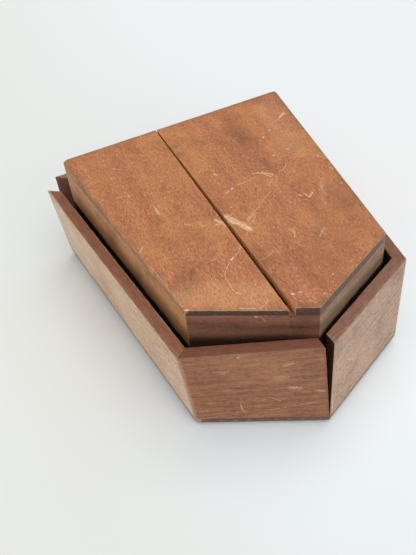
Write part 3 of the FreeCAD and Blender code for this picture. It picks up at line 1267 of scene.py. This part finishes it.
def corner_of(first: Face, second: Face, height: float) -> Vector:
    """Finds where two walls' outer faces and a level meet.

    Args:
        first: One wall's outer face.
        second: The other wall's outer face.
        height: The level.

    Returns:
        The corner.
    """
    planes = Matrix((first.out, second.out, UP))
    offsets = Vector((first.out.dot(first.middle), second.out.dot(second.middle), height))
    return planes.inverted() @ offsets


LEFT_TOP_MARKS = (
    Mark((-32.0, 23.5), (-32.0, 23.5), 1.1, 1.0, ragged=0.3),
    Mark((-36.0, 24.5), (-33.5, 24.0), 0.5, 0.5, ragged=0.8),
    Mark((-26.0, 13.0), (-26.0, 7.5), 0.5, 0.7, ragged=0.6),
    Mark((-33.0, 44.5), (-27.5, 39.5), 0.3, 0.4),
    Mark((-18.5, 26.0), (-18.5, 26.0), 0.6, 0.7, ragged=0.2),
    Mark((-39.0, -8.0), (-37.0, -6.0), 0.9, 0.5, ragged=1.2),
    Mark((-8.5, -21.5), (-13.0, -25.5), 0.4, 0.75, bow=0.4),
    Mark((-14.0, -26.0), (-13.0, -25.5), 1.0, 0.9, ragged=0.8),
    Mark((-15.0, -27.0), (-17.0, -29.0), 0.4, 0.5),
    Mark((-17.0, -29.0), (-19.0, -35.5), 0.4, 0.6, bow=-0.9),
    Mark((-19.0, -35.5), (-18.0, -41.5), 0.5, 0.75, bow=-0.8),
    Mark((-12.0, -47.5), (-15.5, -49.5), 0.4, 0.6, bow=0.4),
    Mark((-11.0, -37.5), (-14.5, -42.0), 0.3, 0.4, bow=0.5),
    Mark((-20.0, -2.0), (-19.0, -3.0), 1.6, 0.3, ragged=1.6),
    Mark((-15.5, -4.5), (-15.0, -6.0), 1.6, 0.3, ragged=1.6),
    Mark((-22.0, -12.5), (-22.0, -12.5), 0.6, 0.6, ragged=0.3),
    Mark((-10.0, -5.0), (-7.8, -9.5), 1.6, 0.6, ragged=1.8),
    Mark((-11.0, -7.5), (-7.8, -8.0), 0.9, 0.5, ragged=1.2),
    Mark((-20.0, -23.0), (-18.0, -23.5), 0.5, 0.35, ragged=0.6),
    Mark((-38.0, -17.0), (-35.6, -38.0), 0.3, 0.5, ragged=0.5),
    Mark((-39.0, -16.5), (-38.5, -19.5), 0.6, 0.6, ragged=1.0),
    Mark((-21.0, -46.6), (-16.5, -49.0), 0.7, 0.6, ragged=1.4),
    Mark((-35.5, -39.6), (-34.8, -39.9), 0.8, 1.0, ragged=0.4),
    Mark((-31.0, -34.0), (-14.0, -44.0), 15.0, 0.14, ragged=3.0),
    Mark((-46.5, 43.0), (-43.5, 15.0), 2.4, 0.5, ragged=1.6, dark=True),
    Mark((-43.0, 11.5), (-42.0, 5.0), 1.4, 0.6, ragged=1.8, dark=True),
    Mark((-45.0, 20.5), (-44.5, 17.0), 1.2, 0.7, ragged=1.2, dark=True),
    Mark((-42.0, 2.5), (-39.5, -14.0), 1.1, 0.5, ragged=1.6, dark=True),
)
RIGHT_TOP_MARKS = (
    Mark((-6.5, -5.5), (-2.5, -16.0), 2.8, 0.7, ragged=4.5),
    Mark((-6.5, -8.5), (-2.0, -15.5), 1.6, 0.85, ragged=2.4),
    Mark((-6.8, -5.0), (-6.0, -10.5), 0.9, 0.6, ragged=1.8),
    Mark((-5.5, -6.5), (-2.0, -13.0), 0.5, 0.8, ragged=0.8),
    Mark((-2.5, -13.5), (-4.5, -18.0), 0.4, 0.6, bow=0.4),
    Mark((40.5, 43.0), (43.5, 45.0), 1.5, 0.8, ragged=1.1),
    Mark((35.5, 40.0), (40.0, 42.5), 0.5, 0.5, ragged=0.9),
    Mark((32.0, 36.0), (32.5, 36.5), 0.9, 0.7, ragged=0.6),
    Mark((27.5, 32.5), (28.0, 33.0), 0.9, 0.8, ragged=0.6),
    Mark((31.5, 20.5), (32.5, 20.0), 0.8, 0.6, ragged=0.6),
    Mark((0.5, 19.5), (1.0, 18.5), 0.9, 0.7, ragged=0.6),
    Mark((-2.5, -2.0), (-2.5, -2.0), 0.8, 0.8, ragged=0.3),
    Mark((25.0, 19.5), (25.5, 19.0), 0.9, 0.6, ragged=0.8),
    Mark((18.0, 14.5), (18.5, 14.0), 0.7, 0.5, ragged=0.6),
    Mark((26.5, 6.0), (27.0, 6.0), 0.7, 0.5, ragged=0.6),
    Mark((12.0, 12.5), (15.5, 11.5), 0.5, 0.7, ragged=0.6),
    Mark((14.5, 12.0), (19.0, 8.0), 0.9, 0.75, bow=0.4, ragged=1.1),
    Mark((16.5, 12.0), (18.0, 7.0), 0.6, 0.6, bow=-0.5, ragged=0.8),
    Mark((21.5, 8.5), (26.0, 11.0), 0.4, 0.75, bow=-0.6, ragged=0.5),
    Mark((13.0, 10.0), (4.5, 9.0), 0.3, 0.6, bow=0.3),
    Mark((2.5, 8.0), (2.0, 7.5), 1.0, 0.9, ragged=0.6),
    Mark((0.0, 6.5), (0.5, 7.0), 0.7, 0.8, ragged=0.5),
    Mark((9.5, 3.5), (9.0, 2.0), 1.3, 0.8, ragged=0.6, dark=True),
    Mark((18.0, 6.0), (13.0, -1.0), 0.3, 0.5, bow=-0.8),
    Mark((13.0, -1.0), (6.0, -6.5), 0.3, 0.5, bow=-0.3),
    Mark((6.0, -6.5), (-1.0, -11.0), 0.4, 0.65, ragged=0.6),
    Mark((-1.0, -12.0), (3.5, -9.5), 0.4, 0.7, bow=0.5, ragged=0.5),
    Mark((-1.0, -13.5), (2.5, -10.5), 0.4, 0.6, bow=-0.4, ragged=0.6),
    Mark((21.0, -7.0), (21.5, -8.5), 0.6, 0.6, ragged=0.8),
    Mark((23.0, -7.5), (23.5, -10.0), 0.7, 0.7, ragged=0.9),
    Mark((23.5, -10.5), (25.8, -8.6), 0.9, 0.65, ragged=1.7),
    Mark((21.8, -10.8), (22.6, -12.6), 0.5, 0.5, ragged=0.8),
    Mark((31.5, -5.5), (28.5, -12.0), 3.6, 0.14, ragged=3.6),
    Mark((30.5, -7.0), (30.0, -8.0), 1.0, 0.35, ragged=1.2),
    Mark((27.0, -13.5), (26.0, -18.0), 2.2, 0.13, ragged=2.6),
    Mark((9.0, -22.5), (8.5, -27.0), 0.6, 0.5, bow=0.8, ragged=0.8),
    Mark((10.5, -22.5), (9.5, -25.5), 0.4, 0.45, ragged=0.5),
    Mark((16.0, -30.5), (19.5, -27.5), 0.6, 0.45, ragged=1.0),
    Mark((17.5, -28.5), (18.0, -31.0), 0.4, 0.45, ragged=0.5),
    Mark((39.0, 10.5), (40.0, 9.0), 0.8, 0.7, ragged=1.0),
    Mark((39.0, 1.5), (39.5, 0.5), 0.7, 0.7, ragged=0.8),
    Mark((45.5, 33.5), (45.0, 32.0), 0.8, 0.6, ragged=1.0),
    Mark((37.5, -8.5), (37.5, -9.5), 0.6, 0.5, ragged=0.8),
    Mark((-5.0, -49.5), (-4.5, -50.0), 0.9, 0.95, ragged=0.6),
    Mark((-3.0, -50.0), (-2.0, -50.2), 0.6, 0.8, ragged=0.8),
    Mark((3.5, -54.0), (3.5, -54.0), 0.8, 0.6, ragged=0.5),
    Mark((10.0, -48.0), (10.0, -48.0), 0.8, 0.9, ragged=0.3),
    Mark((18.5, -48.0), (18.5, -48.0), 0.7, 0.85, ragged=0.3),
    Mark((-1.5, -54.5), (-0.5, -56.0), 0.8, 0.4, ragged=0.9),
    Mark((-6.5, -31.5), (-1.0, -30.0), 0.3, 0.45, bow=-0.3),
    Mark((40.0, 52.0), (34.0, 20.0), 16.0, 0.1, ragged=3.0),
    Mark((24.0, 53.0), (20.5, 34.5), 12.0, 0.3, ragged=2.0, dark=True),
    Mark((15.0, 31.0), (18.5, 15.5), 9.0, 0.28, ragged=2.0, dark=True),
    Mark((25.0, 11.5), (21.0, 9.0), 3.0, 0.3, ragged=1.0, dark=True),
    Mark((26.0, 0.0), (23.5, -12.5), 7.0, 0.22, ragged=2.0, dark=True),
    Mark((1.0, -3.5), (1.0, -7.0), 3.0, 0.28, ragged=1.0, dark=True),
    Mark((8.0, -46.0), (36.0, -14.0), 22.0, 0.27, ragged=3.0, dark=True),
    Mark((-5.0, -55.5), (2.5, -56.5), 3.4, 0.4, ragged=2.2, dark=True),
)
FRONT_LEFT_MARKS = (
    Mark((-13.5, 17.8), (-9.5, 18.0), 0.7, 0.5, ragged=2.4),
    Mark((8.0, 17.8), (15.5, 18.0), 0.9, 0.5, ragged=2.6),
    Mark((9.5, 10.0), (12.0, 11.0), 1.4, 0.55, ragged=3.2),
    Mark((6.5, 4.0), (10.0, 4.5), 2.4, 0.4, ragged=4.5),
    Mark((10.5, -1.2), (13.5, -2.0), 2.4, 0.6, ragged=4.2),
    Mark((19.0, -3.8), (21.0, -4.4), 1.2, 0.6, ragged=2.4),
    Mark((3.5, -5.5), (7.0, -8.2), 0.4, 0.8, ragged=0.3),
    Mark((-6.1, -9.0), (-5.7, -12.6), 0.55, 0.95, ragged=0.3),
    Mark((-5.5, -5.0), (-6.0, -8.0), 0.35, 0.4),
    Mark((-20.5, -15.5), (-8.0, -14.3), 0.4, 0.6, ragged=0.5),
    Mark((2.0, -12.8), (8.5, -11.9), 0.4, 0.55, ragged=0.4),
    Mark((9.5, -11.6), (18.0, -10.3), 0.4, 0.7, ragged=0.4),
    Mark((-20.0, -11.5), (-17.0, -11.0), 0.7, 0.5, ragged=0.8),
    Mark((-12.5, 9.5), (-8.5, 9.0), 0.5, 0.5, ragged=0.6),
    Mark((-10.0, 8.0), (-7.5, 9.3), 0.45, 0.6, ragged=0.5),
    Mark((-4.0, 15.5), (-3.7, 15.7), 0.7, 0.7, ragged=0.5),
    Mark((-2.0, -9.0), (-1.6, -9.2), 1.0, 0.7, ragged=0.6, dark=True),
)
FRONT_RIGHT_MARKS = (
    Mark((-13.5, 2.5), (-9.0, -2.0), 0.5, 0.6, ragged=0.5),
    Mark((4.0, -6.5), (4.2, -6.3), 0.9, 0.8, ragged=0.6),
    Mark((4.5, 17.5), (10.0, 15.5), 0.6, 0.5, bow=0.8, ragged=0.8, dark=True),
    Mark((-21.6, -7.0), (-20.9, -17.0), 0.6, 0.5, ragged=0.8),
    Mark((-14.5, -4.0), (-5.0, 2.0), 0.3, 0.35),
    Mark((-12.5, 12.0), (0.0, 15.0), 0.4, 0.3, bow=0.6),
)
TRAY_LEFT_MARKS = (
    Mark((-50.0, 8.0), (-38.0, -8.0), 34.0, 0.4, ragged=3.0),
    Mark((6.0, -9.0), (42.0, -11.0), 1.6, 0.35, ragged=2.6),
    Mark((-12.0, -12.0), (30.0, -15.0), 1.1, 0.35, ragged=2.0),
    Mark((20.0, -3.0), (50.0, -5.0), 1.0, 0.35, ragged=2.0),
    Mark((-30.0, 6.0), (10.0, 1.0), 0.9, 0.3, ragged=2.0),
    Mark((10.0, 9.0), (46.0, 4.0), 0.8, 0.3, ragged=1.8),
)
COVER_FRONT_LEFT_MARKS = (
    Mark((-3.5, 10.5), (-3.3, 10.7), 0.8, 0.7, ragged=0.4),
    Mark((1.0, 20.2), (1.4, 20.0), 0.8, 0.7, ragged=0.6),
    Mark((2.0, 20.5), (4.0, 17.5), 0.35, 0.5, bow=0.4),
)
COVER_FRONT_RIGHT_MARKS = (
    Mark((0.5, 18.5), (3.0, 15.5), 0.4, 0.5, bow=0.3),
)


@dataclass
class Shell:
    """What tray and cover share: boards on one body, with standing corners between its walls.

    Attributes:
        level: A level that all walls pass through.
        first_cut: Where in the tree the first wall was cut.
        cut_step: How far apart the walls were cut.
        corner_radii: For each pair of neighbouring walls, the radius of the corner between them.
        boards: The boards so far.
    """

    level: float = 20.0
    first_cut: float = 0.0
    cut_step: float = 0.0
    corner_radii: dict[tuple[str, str], float] = field(default_factory=dict)
    boards: list[Board] = field(default_factory=list)

    def add(self, board: Board) -> Board:
        """Takes a board into the shell and starts it.

        Args:
            board: The board.

        Returns:
            The same board, with its outer face known.
        """
        board.start()
        self.boards.append(board)
        return board

    def out(self, node: str) -> Vector:
        """Gives the direction that a board's outer face looks."""
        return next(board.face.out for board in self.boards if board.node == node)

    def build(self) -> None:
        """Finishes all boards."""
        by_node = {board.node: board for board in self.boards}
        surfaces = {board.node: surface_of(board.node) for board in self.boards}
        corners = []
        for (one, two), radius in self.corner_radii.items():
            first, second = by_node[one].face, by_node[two].face
            corners.append((corner_of(first, second, self.level), first.out, second.out, radius))
        for board in self.boards:
            others = [tree for node, tree in surfaces.items() if node != board.node]
            board.build(self.corners_at(board, corners), others)

    @staticmethod
    def corners_at(board: Board, corners: Iterable[tuple]) -> list[tuple]:
        """Picks the corners that a board takes part in.

        Args:
            board: The board.
            corners: All corners of the shell.

        Returns:
            Those whose standing line passes within a short way of one of the board's points.
        """
        reach = 0.5
        chosen = []
        for corner in corners:
            place, first, second, _ = corner
            line = first.cross(second).normalized()
            for vertex in board.piece.data.vertices:
                offset = vertex.co / MM - place
                if (offset - line * offset.dot(line)).length < reach:
                    chosen.append(corner)
                    break
        return chosen


@dataclass
class Cover(Shell):
    """The taller part: five walls under two top boards, with an open slit between them.

    Attributes:
        grime_and_gap_shade: For each wall, where its painted shade of the gap between cover and tray ends
            above and over what height it fades.
        inside: The tone of the walls' inner faces.
        left_cut: Where in the tree the left top board was cut.
        right_cut: Where in the tree the right top board was cut.
        top_rounding: The radius of the top boards' other edges.
        left_rounding: The radius of the top's left edge, which hands have worn broad.
        back_rounding: The radius of its back edge.
        right_rounding: The radius of its right edge.
        slit_left_rounding: The radius of the slit's left edge.
        slit_right_rounding: The radius of its right edge.
        slit_unshaded_depth: How deep the slit stays free of painted shade.
        slit_shade_fade: Over what depth its painted shade sets in there.
    """

    first_cut: float = 40.0
    cut_step: float = 23.0
    corner_radii: dict[tuple[str, str], float] = field(default_factory=lambda: {
        ("cover_left_wall", "cover_back_wall"): 3.0,
        ("cover_back_wall", "cover_right_wall"): 1.3,
        ("cover_right_wall", "cover_front_right_wall"): 0.5,
        ("cover_front_right_wall", "cover_front_left_wall"): 0.6,
        ("cover_front_left_wall", "cover_left_wall"): 0.5,
    })
    grime_and_gap_shade: dict[str, tuple[float, float]] = field(default_factory=lambda: {
        "back": (38.5, 7.0), "right": (38.5, 7.0), "front_right": (37.2, 1.6),
        "front_left": (38.4, 4.4), "left": (32.4, 1.8),
    })
    inside: Colour = (96, 64, 44)
    left_cut: float = 200.0
    right_cut: float = 231.0
    top_rounding: float = 0.3
    left_rounding: float = 2.8
    back_rounding: float = 0.7
    right_rounding: float = 0.6
    slit_left_rounding: float = 0.12
    slit_right_rounding: float = 0.55
    slit_unshaded_depth: float = 1.8
    slit_shade_fade: float = 1.6

    def fill(self) -> None:
        """Lists the cover's boards."""
        woods = {"back": COVER_WOOD, "right": COVER_WOOD, "front_right": GREY_COVER_WOOD,
                 "front_left": RED_COVER_WOOD, "left": GOLDEN_COVER_WOOD}
        marks = {"front_left": COVER_FRONT_LEFT_MARKS, "front_right": COVER_FRONT_RIGHT_MARKS}
        for step, (side, wood) in enumerate(woods.items()):
            # Each wall is painted dark below its level: painted shade of the gap where the cover stands in
            # the tray.
            wall = self.add(Board(f"cover_{side}_wall", wood, Body.COVER, Slot.COVER,
                                  shift=self.first_cut + self.cut_step * step,
                                  marks=marks.get(side, ()), painted_shade=PaintedShade(*self.grime_and_gap_shade[side])))
            wall.tints = (Tint(-wall.face.out, self.inside),)
        self.fill_top()

    def fill_top(self) -> None:
        """Lists the two top boards, whose sides have the tones of the walls below."""
        back, right = self.out("cover_back_wall"), self.out("cover_right_wall")
        left, nose_left = self.out("cover_left_wall"), self.out("cover_front_left_wall")
        nose_right = self.out("cover_front_right_wall")
        # The sides copy the tones of the walls below, with their painted light and shade: the left side lit
        # gold, the front-left side shaded dark.
        sides = (Tint(nose_left, (84, 56, 46)), Tint(nose_right, (120, 98, 84)),
                 Tint(left, (186, 130, 88)), Tint(back, (150, 112, 62)), Tint(right, (142, 98, 64)))
        left_edge = Tint(planar(*(left + UP)), (184, 144, 100), 0.85, (0.73, 0.86))
        # Painted highlight along the rounded back edge of the top.
        back_edge_highlight = Tint(planar(*(back + UP)), (172, 134, 74), 0.9, (0.78, 0.9))
        right_edge = Tint(planar(*(right + UP)), (150, 116, 66), 0.9, (0.78, 0.9))
        # The slit carries painted light and shade: the right board's side and edge are painted bright gold,
        # as lit, and the left board's side dark, as shaded.
        slit = planar(1, 0, 0)
        lit_slit_edge = Tint(planar(*(UP - slit)), (252, 186, 130), 0.9, (0.76, 0.92))
        soft_back = SoftEdge((UP, back), self.back_rounding)
        self.add(Board(
            "cover_left_board", TOP_WOOD, Body.COVER, Slot.TOP, flat=True,
            rounding=self.top_rounding, shift=self.left_cut, marks=LEFT_TOP_MARKS,
            tints=(*sides, Tint(slit, (104, 66, 36)), left_edge, back_edge_highlight),
            soft_edges=(SoftEdge((UP, left), self.left_rounding), soft_back,
                        SoftEdge((UP, slit), self.slit_left_rounding, False))))
        board = self.add(Board(
            "cover_right_board", TOP_WOOD, Body.COVER, Slot.TOP, flat=True,
            rounding=self.top_rounding, shift=self.right_cut, marks=RIGHT_TOP_MARKS,
            tints=(*sides, Tint(-slit, (252, 154, 92)), lit_slit_edge, back_edge_highlight, right_edge),
            soft_edges=(soft_back, SoftEdge((UP, right), self.right_rounding),
                        SoftEdge((UP, -slit), self.slit_right_rounding, False))))
        # Painted shade darkens the right board's slit side below its upper edge.
        unshaded_to = board.face.middle.z - self.slit_unshaded_depth
        board.painted_shade = PaintedShade(unshaded_to, self.slit_shade_fade, -slit)


@dataclass
class Tray(Shell):
    """The lower part: a floor board and five walls, two of which lean out.

    Attributes:
        rims: The tone of each wall's rim.
        inside: The painted shade of the walls' inner faces, nearly black.
        floor_cut: Where in the tree the floor board was cut.
        floor_corners: Places near the floor board's corners, each with that corner's radius.
        open_end: The way that the back wall's open mitred end looks; that end is painted darker, as shade.
        open_end_shade_reach: How far above a wall's middle the painted shade of an open mitred end reaches.
    """

    first_cut: float = 300.0
    cut_step: float = 29.0
    corner_radii: dict[tuple[str, str], float] = field(default_factory=lambda: {
        ("tray_back_wall", "tray_right_wall"): 0.9,
        ("tray_right_wall", "tray_front_right_wall"): 0.9,
        ("tray_front_left_wall", "tray_left_wall"): 3.0,
    })
    rims: dict[str, Colour] = field(default_factory=lambda: {
        "back": (170, 124, 84), "right": (132, 88, 64), "front_right": (132, 88, 66),
        "front_left": (120, 69, 48), "left": (140, 87, 57),
    })
    inside: Colour = (36, 25, 19)
    floor_cut: float = 500.0
    floor_corners: tuple[tuple[float, float, float], ...] = (
        (-40.0, -48.0, 7.0), (0.0, -66.0, 1.2), (40.0, -47.0, 1.5), (52.0, 66.0, 1.5),
        (-52.0, 68.0, 1.5),
    )
    open_end: tuple[float, float, float] = (-0.643, -0.766, 0.0)
    open_end_shade_reach: float = 30.0

    def fill(self) -> None:
        """Lists the tray's boards."""
        woods = {"front_right": SHEEN_GREY_TRAY_WOOD, "left": SHEEN_LEFT_TRAY_WOOD}
        marks = {"front_left": FRONT_LEFT_MARKS, "front_right": FRONT_RIGHT_MARKS,
                 "left": TRAY_LEFT_MARKS}
        for step, (side, rim) in enumerate(self.rims.items()):
            wood = woods.get(side, TRAY_WOOD)
            wall = self.add(Board(f"tray_{side}_wall", wood, Body.TRAY, Slot.TRAY,
                                  shift=self.first_cut + self.cut_step * step,
                                  marks=marks.get(side, ())))
            # The inner faces are painted nearly black: painted shade inside the tray; the rims keep their
            # own tones.
            wall.tints = (Tint(UP, rim), Tint(-wall.face.out, self.inside, 1.0, (0.8, 0.95)))
            # Painted shade on the front-right wall's open mitred end.
            if side == "front_right":
                shaded_to = wall.face.middle.z + self.open_end_shade_reach
                wall.painted_shade = PaintedShade(shaded_to, 1.0, planar(-1, 0, 0))
            # Painted shade on the back wall's open mitred end.
            if side == "back":
                wall.tints += (Tint(planar(*self.open_end), (108, 70, 50)),)
        nose_left, left = self.out("tray_front_left_wall"), self.out("tray_left_wall")
        # A paler tone along the rounded front-left corner: partly worn edge, partly the left wall's painted
        # sheen carried round it.
        worn_and_sheen_corner = Tint(planar(*(nose_left + left)), (176, 132, 104), 0.7, (0.9, 0.99))
        for board in self.boards:
            if board.node in ("tray_front_left_wall", "tray_left_wall"):
                board.tints += (worn_and_sheen_corner,)
        # The floor's sides take tones near those of the walls above; the pale left one copies the left
        # wall's painted sheen.
        tints = (Tint(left, (196, 158, 130)), Tint(planar(*(left - UP)), (118, 86, 66)),
                 Tint(self.out("tray_front_right_wall"), (150, 118, 96), 1.0, (0.9, 0.97)))
        self.add(Board("tray_floor", FLOOR_WOOD, Body.TRAY, Slot.TRAY, flat=True,
                       shift=self.floor_cut, tints=tints, own_corners=self.floor_corners))


# --------------------------------------------------------------------------- studio


@dataclass
class Studio:
    """The camera, the lamps, the pale floor and the pale surroundings.

    Attributes:
        camera_place: Where the camera stands.
        camera_target: What it looks at.
        camera_roll: How far it is turned about its own line of sight, in degrees.
        lens: Its focal length for a 36 mm sensor.
        floor_size: The side of the floor.
        floor_left: The colour of its left part.
        floor_right: The colour of its right part.
        floor_tint_reach: How far to each side the one goes over into the other.
        floor_near: A cooler colour painted on the floor in front of the object, standing in for the cool
            shade there, which the object's own light warms.
        floor_near_place: The middle of that cooler part.
        floor_near_reach: How far from there it starts to fade and where it ends.
        floor_roughness: The roughness of the floor.
        backdrop: The colour that the camera sees beyond the floor.
        sky: The colour of the soft light from all sides.
        sky_strength: The strength of that light.
        lamps: For each lamp, its height and bearing in degrees, its strength, its softness in
            degrees and its colour.
    """

    camera_place: tuple[float, float, float] = (-73.84, -174.47, 190.08)
    camera_target: tuple[float, float, float] = (-15.545, -5.969, 24.45)
    camera_roll: float = -6.795
    lens: float = 43.32
    floor_size: float = 6000.0
    floor_left: Colour = (235, 235, 229)
    floor_right: Colour = (244, 244, 242)
    floor_tint_reach: float = 100.0
    floor_near: Colour = (242, 247, 248)
    floor_near_place: tuple[float, float, float] = (20.0, -45.0, 0.0)
    floor_near_reach: tuple[float, float] = (40.0, 105.0)
    floor_roughness: float = 0.9
    backdrop: Colour = (235, 237, 234)
    sky: Colour = (230, 243, 253)
    sky_strength: float = 0.33
    lamps: tuple[tuple[float, float, float, float, Colour], ...] = (
        (77.0, 125.0, 1.2, 76.0, (254, 253, 251)),
        (42.0, 190.0, 1.27, 60.0, (248, 248, 251)),
        (55.0, 55.0, 0.3, 40.0, (255, 250, 240)),
    )

    def build(self) -> None:
        """Sets up everything that isn't the object."""
        self.place_camera()
        self.lay_floor()
        self.hang_lamps()
        self.paint_sky()
        bpy.context.scene.view_settings.view_transform = "Standard"

    def place_camera(self) -> None:
        """Makes the camera and turns it to its target."""
        data = bpy.data.cameras.new("camera")
        data.lens = self.lens
        data.clip_start = 0.01
        camera = bpy.data.objects.new("camera", data)
        bpy.context.scene.collection.objects.link(camera)
        place, target = Vector(self.camera_place), Vector(self.camera_target)
        look = (target - place).to_track_quat("-Z", "Y")
        roll = Quaternion((0.0, 0.0, 1.0), math.radians(self.camera_roll))
        camera.location = place * MM
        camera.rotation_mode = "QUATERNION"
        camera.rotation_quaternion = look @ roll
        bpy.context.scene.camera = camera

    def lay_floor(self) -> None:
        """Lays the pale floor that keeps the object's shadow."""
        bpy.ops.object.select_all(action="DESELECT")
        bpy.ops.mesh.primitive_plane_add(size=self.floor_size * MM)
        floor = bpy.context.object
        floor.name = "studio_floor"
        material = bpy.data.materials.new("pale_floor")
        material.use_nodes = True
        shader = Shader(material.node_tree)
        surface = material.node_tree.nodes["Principled BSDF"]
        place = shader.add("ShaderNodeTexCoord").outputs["Object"]
        # Painted light: the floor is painted brighter to the right and cooler in front of the object, for
        # the studio's uneven light and cool shade.
        across = shader.add("ShaderNodeSeparateXYZ", {0: place}).outputs[0]
        side = shader.ramp(across, -self.floor_tint_reach * MM, self.floor_tint_reach * MM)
        tone = shader.mix(side, srgb(*self.floor_left), srgb(*self.floor_right))
        middle = tuple(Vector(self.floor_near_place) * MM)
        distance = shader.vector("DISTANCE", place, middle)
        fade, end = self.floor_near_reach
        tone = shader.mix(shader.ramp(distance, end * MM, fade * MM), tone, srgb(*self.floor_near))
        shader.feed(surface.inputs["Base Color"], tone)
        surface.inputs["Roughness"].default_value = self.floor_roughness
        surface.inputs["Specular IOR Level"].default_value = 0.0
        floor.data.materials.append(material)

    def hang_lamps(self) -> None:
        """Hangs the soft lamps."""
        for number, (height, bearing, strength, softness, colour) in enumerate(self.lamps):
            data = bpy.data.lights.new(f"lamp_{number}", "SUN")
            data.energy = strength
            data.angle = math.radians(softness)
            data.color = srgb(*colour)[:3]
            lamp = bpy.data.objects.new(f"lamp_{number}", data)
            bpy.context.scene.collection.objects.link(lamp)
            lift, around = math.radians(height), math.radians(bearing)
            source = Vector((math.cos(lift) * math.sin(around), math.cos(lift) * math.cos(around),
                             math.sin(lift)))
            lamp.rotation_mode = "QUATERNION"
            lamp.rotation_quaternion = source.to_track_quat("Z", "Y")

    def paint_sky(self) -> None:
        """Makes soft white light from all sides, and the pale tone that the camera sees."""
        world = bpy.context.scene.world or bpy.data.worlds.new("studio")
        bpy.context.scene.world = world
        world.use_nodes = True
        world.node_tree.nodes.clear()
        shader = Shader(world.node_tree)
        path = shader.add("ShaderNodeLightPath").outputs
        light = shader.add("ShaderNodeBackground", {"Color": srgb(*self.sky),
                                                    "Strength": self.sky_strength})
        seen = shader.add("ShaderNodeBackground", {"Color": srgb(*self.backdrop), "Strength": 1.0})
        chosen = shader.add("ShaderNodeMixShader", {0: path["Is Camera Ray"], 1: light.outputs[0],
                                                    2: seen.outputs[0]})
        shader.add("ShaderNodeOutputWorld", {"Surface": chosen.outputs[0]})


def main() -> None:
    """Builds the tray, the cover and the studio, in that order."""
    logging.basicConfig(level=logging.INFO, format="%(message)s")
    for shell in (Tray(), Cover()):
        shell.fill()
        shell.build()
        log.info("%s: %d boards", type(shell).__name__, len(shell.boards))
    Studio().build()


if __name__ == "__main__":
    main()
